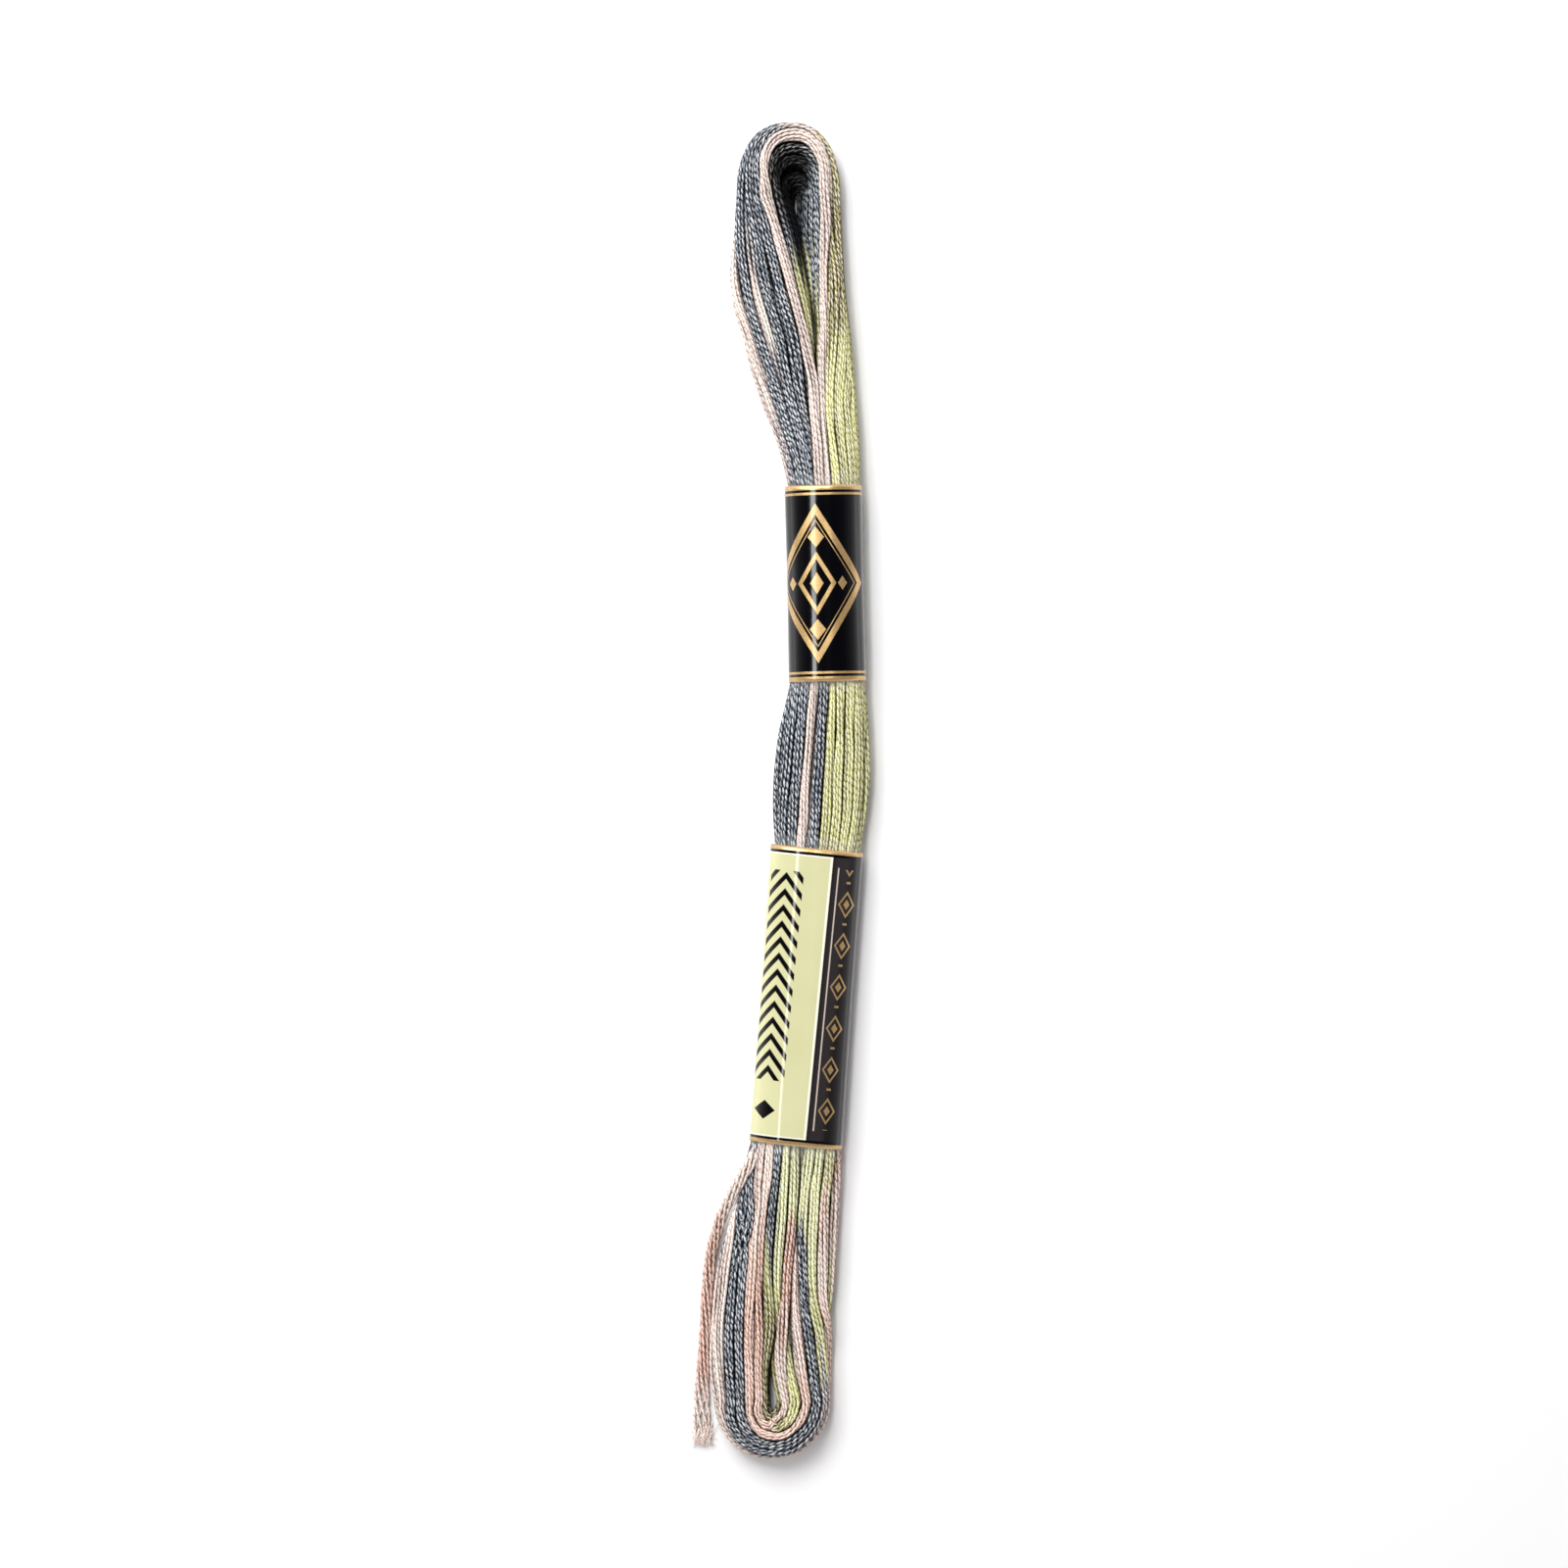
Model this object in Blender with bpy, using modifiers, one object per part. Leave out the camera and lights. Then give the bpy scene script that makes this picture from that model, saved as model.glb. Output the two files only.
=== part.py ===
"""A pull skein of stranded embroidery floss, lying on its back.

Twenty-four turns of floss are flattened into one hank, held by two printed film sleeves, and the
outer end of the floss hangs free beside the bottom loop. The hank is one solid of its wound form:
a trunk that is waisted at both sleeves, opened into a loop with an eye at each end, and ridged
along its length by its main groups of strands. Sizes are in millimetres and are scaled to metres
where a mesh is made. +X is across, +Y is along to the top loop, +Z is up from the surface.
"""

from collections import namedtuple
from math import atan2, cos, degrees, pi, radians, sin

import bmesh
import bpy
from mathutils import Vector

MM = 0.001

# Driving dimensions.
GAP = 0.3
FILM_WALL = 0.4
FLOSS_DIAMETER = 1.1
RING_POINTS = 40
SQUARENESS = 2.7
STRAND_GROUPS = 5
GROOVE = 0.4

# A sleeve: its middle, its lean about the vertical, and its outside length, width and height.
Sleeve = namedtuple("Sleeve", "x y lean length width height")
UPPER_BAND = Sleeve(x=5.48, y=27.6, lean=1.0, length=28.6, width=10.0, height=6.4)
LOWER_BAND = Sleeve(x=3.10, y=-26.4, lean=-3.8, length=42.5, width=11.7, height=5.6)
SLEEVE_LEAD_IN = 0.8

# A section of the hank: its middle, the turn of its width from +X, its width, its underside and
# top, and the depth of the grooves between its groups of strands.
Section = namedtuple("Section", "x y turn width low high groove")

SHOULDER = [
    Section(x=1.90, y=62.5, turn=0.0, width=5.0, low=0.0, high=3.4, groove=0.0),
    Section(x=1.60, y=59.5, turn=0.0, width=10.6, low=0.0, high=4.4, groove=GROOVE),
    Section(x=2.25, y=54.0, turn=0.0, width=12.8, low=0.0, high=5.2, groove=GROOVE),
    Section(x=3.60, y=49.0, turn=0.0, width=11.8, low=0.0, high=5.6, groove=GROOVE),
    Section(x=4.75, y=45.0, turn=0.0, width=9.8, low=0.3, high=5.8, groove=0.6 * GROOVE),
]
WAIST = [
    Section(x=5.70, y=9.4, turn=0.0, width=10.2, low=0.2, high=5.6, groove=0.6 * GROOVE),
    Section(x=5.20, y=5.0, turn=0.0, width=12.2, low=0.0, high=5.3, groove=GROOVE),
    Section(x=4.90, y=0.8, turn=0.0, width=12.9, low=0.0, high=5.1, groove=GROOVE),
    Section(x=4.70, y=-2.4, turn=0.0, width=12.2, low=0.2, high=5.0, groove=0.6 * GROOVE),
]
SKIRT = [
    Section(x=1.00, y=-52.0, turn=0.0, width=12.6, low=0.2, high=4.8, groove=0.6 * GROOVE),
    Section(x=-0.40, y=-57.0, turn=0.0, width=14.4, low=0.0, high=4.8, groove=GROOVE),
    Section(x=-1.20, y=-63.0, turn=0.0, width=15.6, low=0.0, high=4.6, groove=GROOVE),
    Section(x=-1.50, y=-69.0, turn=0.0, width=15.0, low=0.0, high=4.3, groove=GROOVE),
    Section(x=-1.40, y=-73.0, turn=0.0, width=11.0, low=0.0, high=3.9, groove=GROOVE),
    Section(x=-1.00, y=-76.0, turn=0.0, width=5.0, low=0.0, high=3.0, groove=0.0),
]

# The straight limbs of each loop, from the row that lies inside the trunk to the bend.
TOP_LEFT_LIMB = [
    Section(x=1.50, y=50.5, turn=0.0, width=7.0, low=0.1, high=4.9, groove=0.0),
    Section(x=-0.70, y=57.0, turn=0.0, width=8.6, low=0.0, high=5.1, groove=GROOVE),
    Section(x=-2.35, y=64.5, turn=0.0, width=8.2, low=0.0, high=5.1, groove=GROOVE),
    Section(x=-2.80, y=70.0, turn=0.0, width=7.4, low=0.0, high=5.2, groove=GROOVE),
    Section(x=-3.45, y=75.0, turn=0.0, width=5.9, low=0.0, high=5.2, groove=GROOVE),
]
TOP_RIGHT_LIMB = [
    Section(x=6.60, y=50.5, turn=0.0, width=4.4, low=0.1, high=4.8, groove=0.0),
    Section(x=5.80, y=57.0, turn=0.0, width=5.0, low=0.0, high=5.0, groove=GROOVE),
    Section(x=5.30, y=64.5, turn=0.0, width=5.0, low=0.0, high=5.1, groove=GROOVE),
    Section(x=5.20, y=70.0, turn=0.0, width=4.9, low=0.0, high=5.2, groove=GROOVE),
    Section(x=5.15, y=75.0, turn=0.0, width=4.6, low=0.0, high=5.2, groove=GROOVE),
]
BOTTOM_LEFT_LIMB = [
    Section(x=-4.60, y=-61.0, turn=0.0, width=7.0, low=0.1, high=4.1, groove=0.0),
    Section(x=-5.50, y=-68.0, turn=0.0, width=8.0, low=0.0, high=4.6, groove=GROOVE),
    Section(x=-5.75, y=-74.0, turn=0.0, width=7.9, low=0.0, high=4.6, groove=GROOVE),
]
BOTTOM_RIGHT_LIMB = [
    Section(x=2.60, y=-61.0, turn=0.0, width=6.6, low=0.1, high=4.1, groove=0.0),
    Section(x=2.75, y=-68.0, turn=0.0, width=7.2, low=0.0, high=4.6, groove=GROOVE),
    Section(x=2.90, y=-74.0, turn=0.0, width=6.5, low=0.0, high=4.6, groove=GROOVE),
]

# The bend of a loop: the middle of its half ellipse, the two half axes of its centre line, the
# width of the hank where the bend starts, at its crown and where it ends, its top, and how many
# sections it is built from.
Bend = namedtuple("Bend", "x y across along start crown end high steps")
TOP_BEND = Bend(x=0.85, y=77.5, across=4.4, along=7.7, start=5.1, crown=4.2, end=4.3, high=5.0,
                steps=12)
BOTTOM_BEND = Bend(x=-1.20, y=-79.5, across=4.3, along=-5.0, start=7.4, crown=5.6, end=6.1,
                   high=4.5, steps=12)

# The route of the loose end, from the mouth of the lower sleeve, over the hank's left shoulder
# and down to the surface.
LOOSE_END_ROUTE = [
    (-4.05, -47.85, 4.40),
    (-5.45, -50.30, 4.05),
    (-7.00, -53.20, 3.15),
    (-8.25, -56.00, 2.20),
    (-9.15, -59.00, 1.30),
    (-9.80, -62.50, 0.80),
    (-10.15, -66.50, 0.62),
    (-10.40, -71.00, 0.60),
    (-10.65, -75.50, 0.60),
    (-10.80, -80.00, 0.60),
    (-10.72, -85.00, 0.60),
]
LOOSE_END_STEP = 2.4


def clear_scene():
    """Remove every object of the opened scene."""
    for item in list(bpy.data.objects):
        bpy.data.objects.remove(item, do_unlink=True)


def make_collection(name):
    """A new collection linked to the scene."""
    collection = bpy.data.collections.new(name)
    bpy.context.scene.collection.children.link(collection)
    return collection


def make_material(name, colour, roughness, metallic=0.0):
    """A Principled material with a plain colour."""
    material = bpy.data.materials.new(name)
    material.use_nodes = True
    shader = material.node_tree.nodes["Principled BSDF"]
    shader.inputs["Base Color"].default_value = (*colour, 1.0)
    shader.inputs["Roughness"].default_value = roughness
    shader.inputs["Metallic"].default_value = metallic
    return material


def place(item, collection, material=None):
    """Link an object to its collection and give it its material."""
    collection.objects.link(item)
    if material is not None:
        item.data.materials.append(material)
    return item


def signed_power(value, exponent):
    """The power of a number's size, with the number's own sign."""
    return abs(value) ** exponent * (1.0 if value >= 0.0 else -1.0)


def section_ring(section):
    """The points of one section: a rounded box, flat below, with grooves along its upper side.

    The outline is a superellipse. Its lower part is cut level with the section's underside, and
    on the upper half each groove lies between two groups of strands.
    """
    half_width = section.width / 2.0
    height = section.high - section.low
    half_height = 0.56 * height
    centre = section.high - half_height
    turn = radians(section.turn)
    points = []
    for index in range(RING_POINTS):
        angle = 2.0 * pi * index / RING_POINTS
        across = half_width * signed_power(cos(angle), 2.0 / SQUARENESS)
        up = centre + half_height * signed_power(sin(angle), 2.0 / SQUARENESS)
        if sin(angle) > 0.0:
            up -= section.groove * (1.0 - abs(sin(STRAND_GROUPS * angle))) * sin(angle)
        up = max(up, section.low)
        x = section.x + across * cos(turn)
        y = section.y + across * sin(turn)
        points.append(Vector((x, y, up)) * MM)
    return points


def skin_rings(name, rings, capped):
    """A mesh through a row of rings with equal numbers of points, with or without end faces."""
    mesh = bmesh.new()
    rows = [[mesh.verts.new(point) for point in ring] for ring in rings]
    count = len(rings[0])
    for first, second in zip(rows, rows[1:]):
        for index in range(count):
            after = (index + 1) % count
            mesh.faces.new((first[index], second[index], second[after], first[after]))
    if capped:
        mesh.faces.new(rows[0])
        mesh.faces.new(list(reversed(rows[-1])))
    bmesh.ops.recalc_face_normals(mesh, faces=mesh.faces)
    data = bpy.data.meshes.new(name)
    mesh.to_mesh(data)
    mesh.free()
    data.shade_smooth()
    data.set_sharp_from_angle(angle=radians(50.0))
    return bpy.data.objects.new(name, data)


def sleeve_bore(sleeve, along):
    """The hank's section inside a sleeve, at a distance along it from its middle."""
    lean = radians(sleeve.lean)
    inset = FILM_WALL + GAP
    return Section(
        x=sleeve.x - along * sin(lean),
        y=sleeve.y + along * cos(lean),
        turn=sleeve.lean,
        width=sleeve.width - 2.0 * inset,
        low=inset,
        high=sleeve.height - inset,
        groove=0.0,
    )


def held_by(sleeve):
    """The hank's sections at the two mouths of a sleeve, just outside them."""
    reach = sleeve.length / 2.0 + SLEEVE_LEAD_IN
    return [sleeve_bore(sleeve, reach), sleeve_bore(sleeve, -reach)]


def bend_sections(bend):
    """Sections round a loop's bend, square to its half-elliptic centre line."""
    side = 1.0 if bend.along > 0.0 else -1.0
    sections = []
    for step in range(bend.steps + 1):
        share = step / bend.steps
        angle = pi * share
        if share < 0.5:
            width = bend.start + (bend.crown - bend.start) * sin(angle)
        else:
            width = bend.end + (bend.crown - bend.end) * sin(angle)
        turn = atan2(-side * bend.across * sin(angle), abs(bend.along) * cos(angle))
        sections.append(Section(
            x=bend.x - bend.across * cos(angle),
            y=bend.y + bend.along * sin(angle),
            turn=degrees(turn),
            width=width,
            low=0.0,
            high=bend.high,
            groove=GROOVE,
        ))
    return sections


def make_skein(collection, cutters, material):
    """The hank: the trunk, with its two end loops joined on."""
    trunk = SHOULDER + held_by(UPPER_BAND) + WAIST + held_by(LOWER_BAND) + SKIRT
    skein = skin_rings("skein", [section_ring(section) for section in trunk], capped=True)
    place(skein, collection, material)

    loops = [
        ("top_loop", TOP_LEFT_LIMB, TOP_BEND, TOP_RIGHT_LIMB),
        ("bottom_loop", BOTTOM_LEFT_LIMB, BOTTOM_BEND, BOTTOM_RIGHT_LIMB),
    ]
    for name, left_limb, bend, right_limb in loops:
        right = [section._replace(turn=180.0 if bend.along < 0.0 else -180.0)
                 for section in reversed(right_limb)]
        sections = left_limb + bend_sections(bend) + right
        loop = skin_rings(name, [section_ring(section) for section in sections], capped=True)
        place(loop, cutters)
        loop.hide_render = True
        loop.display_type = "WIRE"
        union = skein.modifiers.new(name, "BOOLEAN")
        union.operation = "UNION"
        union.solver = "EXACT"
        union.object = loop
    return skein


def make_sleeve(name, sleeve, collection, material):
    """A printed film sleeve: an open tube round the hank, with the film's wall added outside."""
    bore = Section(x=0.0, y=0.0, turn=0.0, width=sleeve.width - 2.0 * FILM_WALL,
                   low=FILM_WALL, high=sleeve.height - FILM_WALL, groove=0.0)
    mouths = [bore._replace(y=end * sleeve.length / 2.0) for end in (1.0, 0.0, -1.0)]
    tube = skin_rings(name, [section_ring(section) for section in mouths], capped=False)
    place(tube, collection, material)
    wall = tube.modifiers.new("film", "SOLIDIFY")
    wall.thickness = FILM_WALL * MM
    wall.offset = 1.0
    wall.use_even_offset = True
    tube.location = (sleeve.x * MM, sleeve.y * MM, 0.0)
    tube.rotation_euler = (0.0, 0.0, radians(sleeve.lean))
    return tube


def smooth_route(points, step):
    """Points about a step apart on the Catmull-Rom curve through the route's own points."""
    route = [Vector(point) for point in points]
    padded = [2.0 * route[0] - route[1]] + route + [2.0 * route[-1] - route[-2]]
    curve = []
    for before, start, end, after in zip(padded, padded[1:], padded[2:], padded[3:]):
        pieces = max(1, round((end - start).length / step))
        for piece in range(pieces):
            t = piece / pieces
            curve.append(0.5 * (2.0 * start + (end - before) * t
                                + (2.0 * before - 5.0 * start + 4.0 * end - after) * t ** 2
                                + (3.0 * start - before - 3.0 * end + after) * t ** 3))
    curve.append(route[-1])
    return curve


def make_loose_end(collection, material):
    """The outer end of the floss, one cord from the lower sleeve's mouth to its cut tip."""
    points = smooth_route(LOOSE_END_ROUTE, LOOSE_END_STEP)
    data = bpy.data.curves.new("loose_end", "CURVE")
    data.dimensions = "3D"
    data.bevel_depth = FLOSS_DIAMETER / 2.0 * MM
    data.bevel_resolution = 2
    data.use_fill_caps = True
    spline = data.splines.new("POLY")
    spline.points.add(len(points) - 1)
    for target, point in zip(spline.points, points):
        target.co = (*(point * MM), 1.0)
    cord = bpy.data.objects.new("loose_end", data)
    return place(cord, collection, material)


def main():
    """Build the skein, its two sleeves and its loose end."""
    clear_scene()
    parts = make_collection("embroidery_floss_skein")
    cutters = make_collection("cutters")
    floss = make_material("floss", (0.22, 0.27, 0.32), roughness=0.45)
    loose_floss = make_material("loose_floss", (0.80, 0.55, 0.44), roughness=0.45)
    black_film = make_material("black_film", (0.012, 0.011, 0.014), roughness=0.18)
    green_film = make_material("green_film", (0.66, 0.66, 0.36), roughness=0.18)
    make_skein(parts, cutters, floss)
    make_sleeve("upper_band", UPPER_BAND, parts, black_film)
    make_sleeve("lower_band", LOWER_BAND, parts, green_film)
    make_loose_end(parts, loose_floss)


main()
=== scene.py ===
"""The dress of a pull skein of variegated embroidery floss that lies on its back.

The floss is one long chain of turns. Each turn climbs the left leg of the hank, goes round the top
loop, comes down the right leg and goes round the bottom loop into the next turn. The turns are
packed against each other in sections across the hank, every turn is then laid out as six plies,
and the plies are packed again, so that they lie in each other's hollows as real ones do. Two
printed film sleeves hold the hank, and the outer end of the floss lies free beside the bottom loop.

Sizes inside the functions are in millimetres, +X across, +Y along to the top loop and +Z up from
the surface; meshes are scaled to metres where they are made.
"""

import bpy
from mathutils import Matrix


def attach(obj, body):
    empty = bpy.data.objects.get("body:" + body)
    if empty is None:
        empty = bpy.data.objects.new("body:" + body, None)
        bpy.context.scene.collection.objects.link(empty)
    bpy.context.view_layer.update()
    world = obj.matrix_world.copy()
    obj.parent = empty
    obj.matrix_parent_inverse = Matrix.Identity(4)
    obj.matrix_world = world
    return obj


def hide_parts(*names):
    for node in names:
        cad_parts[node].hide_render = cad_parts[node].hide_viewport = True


bl_info = {
    "name": "Embroidery Floss Skein",
    "version": (1, 0, 0),
    "blender": (4, 5, 0),
    "location": "View3D > Sidebar > Skein",
    "description": "Winds a pull skein's floss, prints its film sleeves and lays its loose end",
    "category": "Mesh",
}

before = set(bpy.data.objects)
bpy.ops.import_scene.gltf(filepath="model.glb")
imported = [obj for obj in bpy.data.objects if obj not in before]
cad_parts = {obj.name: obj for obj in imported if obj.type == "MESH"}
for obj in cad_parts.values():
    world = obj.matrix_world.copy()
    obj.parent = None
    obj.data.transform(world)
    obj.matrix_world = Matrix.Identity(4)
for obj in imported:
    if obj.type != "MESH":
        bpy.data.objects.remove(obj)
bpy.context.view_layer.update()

from math import pi

import bpy
import numpy as np
from bpy.props import FloatProperty, FloatVectorProperty, IntProperty, PointerProperty
from bpy.types import Operator, Panel, PropertyGroup
from mathutils import Matrix, Vector

MM = 0.001
SEED = 41

# ---------------------------------------------------------------- the hank's outline

# A row of the hank: its place along Y, the outer edge of the left leg, the upper inner edges of the
# left and the right leg, the outer edge of the right leg, and its height.
OUTLINE = [
    (77.5, -6.2, -1.45, 4.6, 7.3, 5.2),
    (71.3, -6.7, 0.5, 4.8, 7.6, 5.2),
    (64.9, -7.4, 2.8, 4.45, 8.0, 5.1),
    (60.5, -5.9, 4.1, 4.45, 8.6, 5.0),
    (57.5, -5.1, 4.55, 4.55, 8.9, 5.0),
    (54.2, -4.3, 4.75, 4.75, 9.2, 5.2),
    (48.0, -1.9, 4.8, 4.8, 9.7, 5.5),
    (44.0, -0.3, 4.9, 4.9, 9.9, 5.8),
    (41.0, 0.3, 5.0, 5.0, 10.0, 6.0),
    (38.0, 1.0, 5.2, 5.2, 9.7, 5.6),
    (27.6, 1.2, 5.3, 5.3, 9.8, 5.5),
    (17.2, 1.4, 5.3, 5.3, 10.0, 5.6),
    (14.2, 0.9, 5.3, 5.3, 10.5, 6.0),
    (10.5, 0.0, 4.6, 4.6, 10.9, 5.6),
    (7.3, -0.9, 4.3, 4.3, 11.2, 5.3),
    (0.9, -1.5, 4.0, 4.0, 11.35, 5.1),
    (-3.5, -1.5, 3.8, 3.8, 10.7, 5.1),
    (-6.6, -1.2, 3.8, 3.8, 10.2, 5.1),
    (-10.5, -0.8, 3.8, 3.8, 9.3, 4.8),
    (-26.4, -1.9, 2.9, 2.9, 8.2, 4.8),
    (-42.0, -3.0, 0.8, 0.8, 7.0, 4.8),
    (-45.0, -4.2, -0.3, -0.3, 7.4, 5.2),
    (-48.2, -4.9, -0.8, -0.8, 7.6, 5.0),
    (-52.9, -5.8, -1.1, -1.1, 7.5, 4.8),
    (-58.0, -8.2, -1.6, -1.6, 7.0, 4.7),
    (-64.4, -9.3, -1.5, -1.5, 6.8, 4.6),
    (-69.1, -9.7, -1.5, -1.5, 6.4, 4.6),
    (-73.7, -9.9, -1.9, -1.9, 6.2, 4.6),
    (-76.3, -9.8, -2.1, -1.6, 6.2, 4.6),
    (-79.5, -9.3, -2.0, -0.8, 6.1, 4.6),
]

# The two loops: how far the outer edge and the eye's upper edge reach past the straight legs, the
# height at the crown, how square the arch is, and how far the lower turns close the eye.
TOP_LOOP = {"reach": 9.8, "eye": 7.7, "high": 5.7, "square": 2.35, "closed": 0.97}
BOTTOM_LOOP = {"reach": 7.8, "eye": 2.2, "high": 4.6, "square": 2.0, "closed": 0.4}

# How far the lower turns close the top eye between the legs, and from where along Y on that goes
# over to the loop's own share.
CLOSED_LEGS = 1.45
EYE_CLOSES = 72.0

# The top loop's turns slope down from the eye to the outer edge: from where along Y, over what
# stretch that comes in, and by how much.
LEAN_START, LEAN_STRETCH, LEAN_SLOPE = 60.0, 14.0, 3.2

# Between which places along Y painted shade darkens the top eye, how much of that its right wall
# shares, and how far the edge that is spared the painted shade reaches in there.
GLOOM = (60.0, 69.0)
RIGHT_GLOOM = 0.7
SHELF = 1.2

# Where the six strands of the uppermost layer lie: a place along Y, and the middles of the strands
# along X there, on the left and on the right leg, from the outer edge of the hank to the eye.
LANES = [
    (77.5, (-6.0, -5.6, -5.0, -4.1, -3.2, -2.1), (7.0, 6.9, 6.7, 6.4, 5.9, 5.2)),
    (71.3, (-6.4, -5.6, -4.4, -3.0, -1.6, -0.1), (7.3, 7.1, 6.9, 6.7, 6.4, 5.5)),
    (64.9, (-6.5, -5.2, -3.9, -2.4, -0.4, 2.2), (7.8, 7.6, 7.4, 7.2, 6.6, 5.2)),
    (58.5, (-4.7, -3.3, -1.7, -0.2, 1.8, 3.7), (8.7, 8.4, 8.1, 7.7, 6.9, 5.4)),
    (54.2, (-3.9, -2.7, -1.5, -0.2, 1.7, 4.0), (9.1, 8.7, 8.2, 7.65, 6.85, 5.45)),
    (41.0, (0.6, 1.7, 2.4, 2.85, 3.6, 4.4), (9.8, 9.3, 8.6, 7.9, 7.2, 5.75)),
    (14.0, (1.4, 2.4, 3.0, 3.65, 4.45, 5.3), (10.3, 9.8, 9.2, 8.5, 7.9, 6.7)),
    (-5.5, (-0.9, 0.4, 1.1, 1.75, 2.7, 3.9), (9.9, 9.2, 8.5, 7.7, 7.0, 5.6)),
    (-46.5, (-4.8, -4.4, -4.3, -3.7, -3.1, -1.7), (6.6, 5.1, 3.7, 2.6, 1.1, -0.35)),
    (-52.9, (-6.0, -5.5, -5.2, -4.6, -3.7, -1.8), (5.9, 4.0, 2.8, 2.2, 1.45, -0.2)),
    (-58.0, (-8.1, -7.5, -6.6, -5.5, -4.2, -2.4), (5.9, 4.2, 2.85, 2.1, 1.1, -0.65)),
    (-64.4, (-8.8, -7.7, -6.7, -5.4, -3.8, -2.2), (5.95, 4.55, 3.25, 1.9, 0.45, -0.9)),
    (-69.1, (-9.0, -7.7, -6.4, -4.9, -3.4, -1.9), (6.0, 5.0, 3.55, 2.0, 0.2, -0.7)),
    (-73.7, (-8.9, -7.2, -5.7, -4.3, -3.1, -2.1), (6.0, 5.35, 4.0, 2.3, -1.2, 0.1)),
    (-79.5, (-8.5, -6.8, -5.3, -3.9, -2.9, -2.1), (6.1, 5.8, 4.9, 3.2, -0.1, 1.1)),
]

# Where an uppermost strand goes under its neighbours: its leg and its place from the outer edge,
# where along Y it is deepest and half that stretch, and how deep it is.
DIPS = [
    ("left", 2, 2.0, 37.0, 1.5),
    ("left", 4, 12.0, 27.0, 1.3),
    ("right", 1, 14.0, 34.0, 1.3),
    ("right", 3, 14.0, 34.0, 1.3),
    ("left", 0, -48.0, 9.0, 2.2),
    ("left", 1, -47.0, 7.0, 1.3),
    ("left", 2, -48.0, 8.0, 1.4),
    ("left", 0, 78.0, 8.0, 1.2),
    ("right", 3, -52.0, 9.0, 1.6),
    ("right", 0, -77.0, 8.0, 2.6),
    ("right", 5, -71.5, 6.0, 0.9),
]

# Inside the lower sleeve: where the first turn starts and the last one ends, and between which
# places a turn goes over to the next turn's place.
HIDDEN_CUT = -26.0
HANDOVER = (-10.0, -43.0)

# Stations of a turn along a leg and over the two loops, layers of turns, and how square the hank's
# section is above and below.
LEG_STATIONS = 105
TOP_STATIONS = 23
BOTTOM_STATIONS = 19
LAYERS = 4
SQUARENESS = 2.7
LOWER_SQUARENESS = 5.0

# ---------------------------------------------------------------- the dyes

# A turn's dyes are letters of DYES. A turn has one for each of LEVELS up the left leg, one for
# each of CROWN_SHARES over the top loop, one for each of LEVELS down the right leg, and one at the
# bottom crown. From HANDOVER_LEVEL down the right leg the next turn's letters count.
LEVELS = (-79.5, -73.7, -69.1, -64.4, -58.0, -52.9, -46.5, -5.5,
          14.0, 41.0, 48.0, 54.2, 58.5, 64.9, 71.3, 77.5)
CROWN_SHARES = (0.22, 0.5, 0.78)
HANDOVER_LEVEL = LEVELS.index(-46.5)
DYES = {
    "P": ("Pale pink", (0.95, 0.77, 0.68)),
    "R": ("Rose", (0.89, 0.62, 0.50)),
    "O": ("Peach", (0.82, 0.49, 0.37)),
    "B": ("Beige", (0.66, 0.46, 0.27)),
    "L": ("Lilac", (0.36, 0.32, 0.33)),
    "S": ("Slate", (0.071, 0.103, 0.146)),
    # D is no dye: it is painted shade, near black, laid on lower turns deep in the top eye.
    "D": ("Painted eye shade", (0.012, 0.009, 0.008)),
    "G": ("Green", (0.74, 0.73, 0.31)),
    "Y": ("Pale green", (0.86, 0.88, 0.50)),
    # Olive is green darkened as painted shade, laid where green turns lie in shade.
    "K": ("Olive", (0.42, 0.36, 0.11)),
}

# The uppermost layer's turns, from the outer edge of the hank to the eye. Their K is green in
# painted shade.
UPPER_DYES = [
    ("PPPPPPSS SSLPPPLL", "LLK", "KKGGGGGG GGRPPRRP", "P"),
    ("SSSSSSSS SSSSSSSS", "SSK", "KKGGGGGG GYYYGGGL", "S"),
    ("SSSSSSSS SSSLPPLS", "SSK", "KKKGGGGG GYYSSSSS", "S"),
    ("RORRRPPP PSSSSSSS", "SLK", "KKBBBGGG GYPRPPRR", "R"),
    ("ROOORPPP PSSSSSSS", "SPP", "KKKGGGGG GYYOORPP", "R"),
    ("KKKGSSSS SPPPPPPP", "PPP", "PPPPPPPG GYYYGGGG", "K"),
]

# The turns underneath, from the outer edge to the eye. Their D is painted shade deep in the top
# eye, and their K is green in painted shade.
LOWER_DYES = [
    ("PPPPSSSS SSPPPPLS", "LSK", "KKGGGGGG GOPPGGPP", "P"),
    ("PSSSSSPS SSSSSSSS", "SSS", "KKGGGPGG GSPPGGGP", "P"),
    ("SSSSPPPS SSSSSPSS", "SSS", "SSGGGGGG SSSSGGPP", "S"),
    ("SSPPPSSS PSSSSSDD", "DDD", "SSGGGGGS SSPPPPPS", "S"),
    ("PPPPSSSP PSSSKKDD", "DDS", "SSGGGGGS GGGSSPPP", "P"),
    ("KKKGGSSS SSSGGGSD", "DDS", "SSGGGPPG GGGGGGKK", "K"),
]


def smooth_rows(values, passes):
    """A row of values with its corners taken off: each pass is the (1, 2, 1) / 4 average."""
    values = np.array(values, float)
    for _ in range(passes):
        inner = 0.25 * values[:-2] + 0.5 * values[1:-1] + 0.25 * values[2:]
        values = np.concatenate([values[:1], inner, values[-1:]])
    return values


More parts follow.
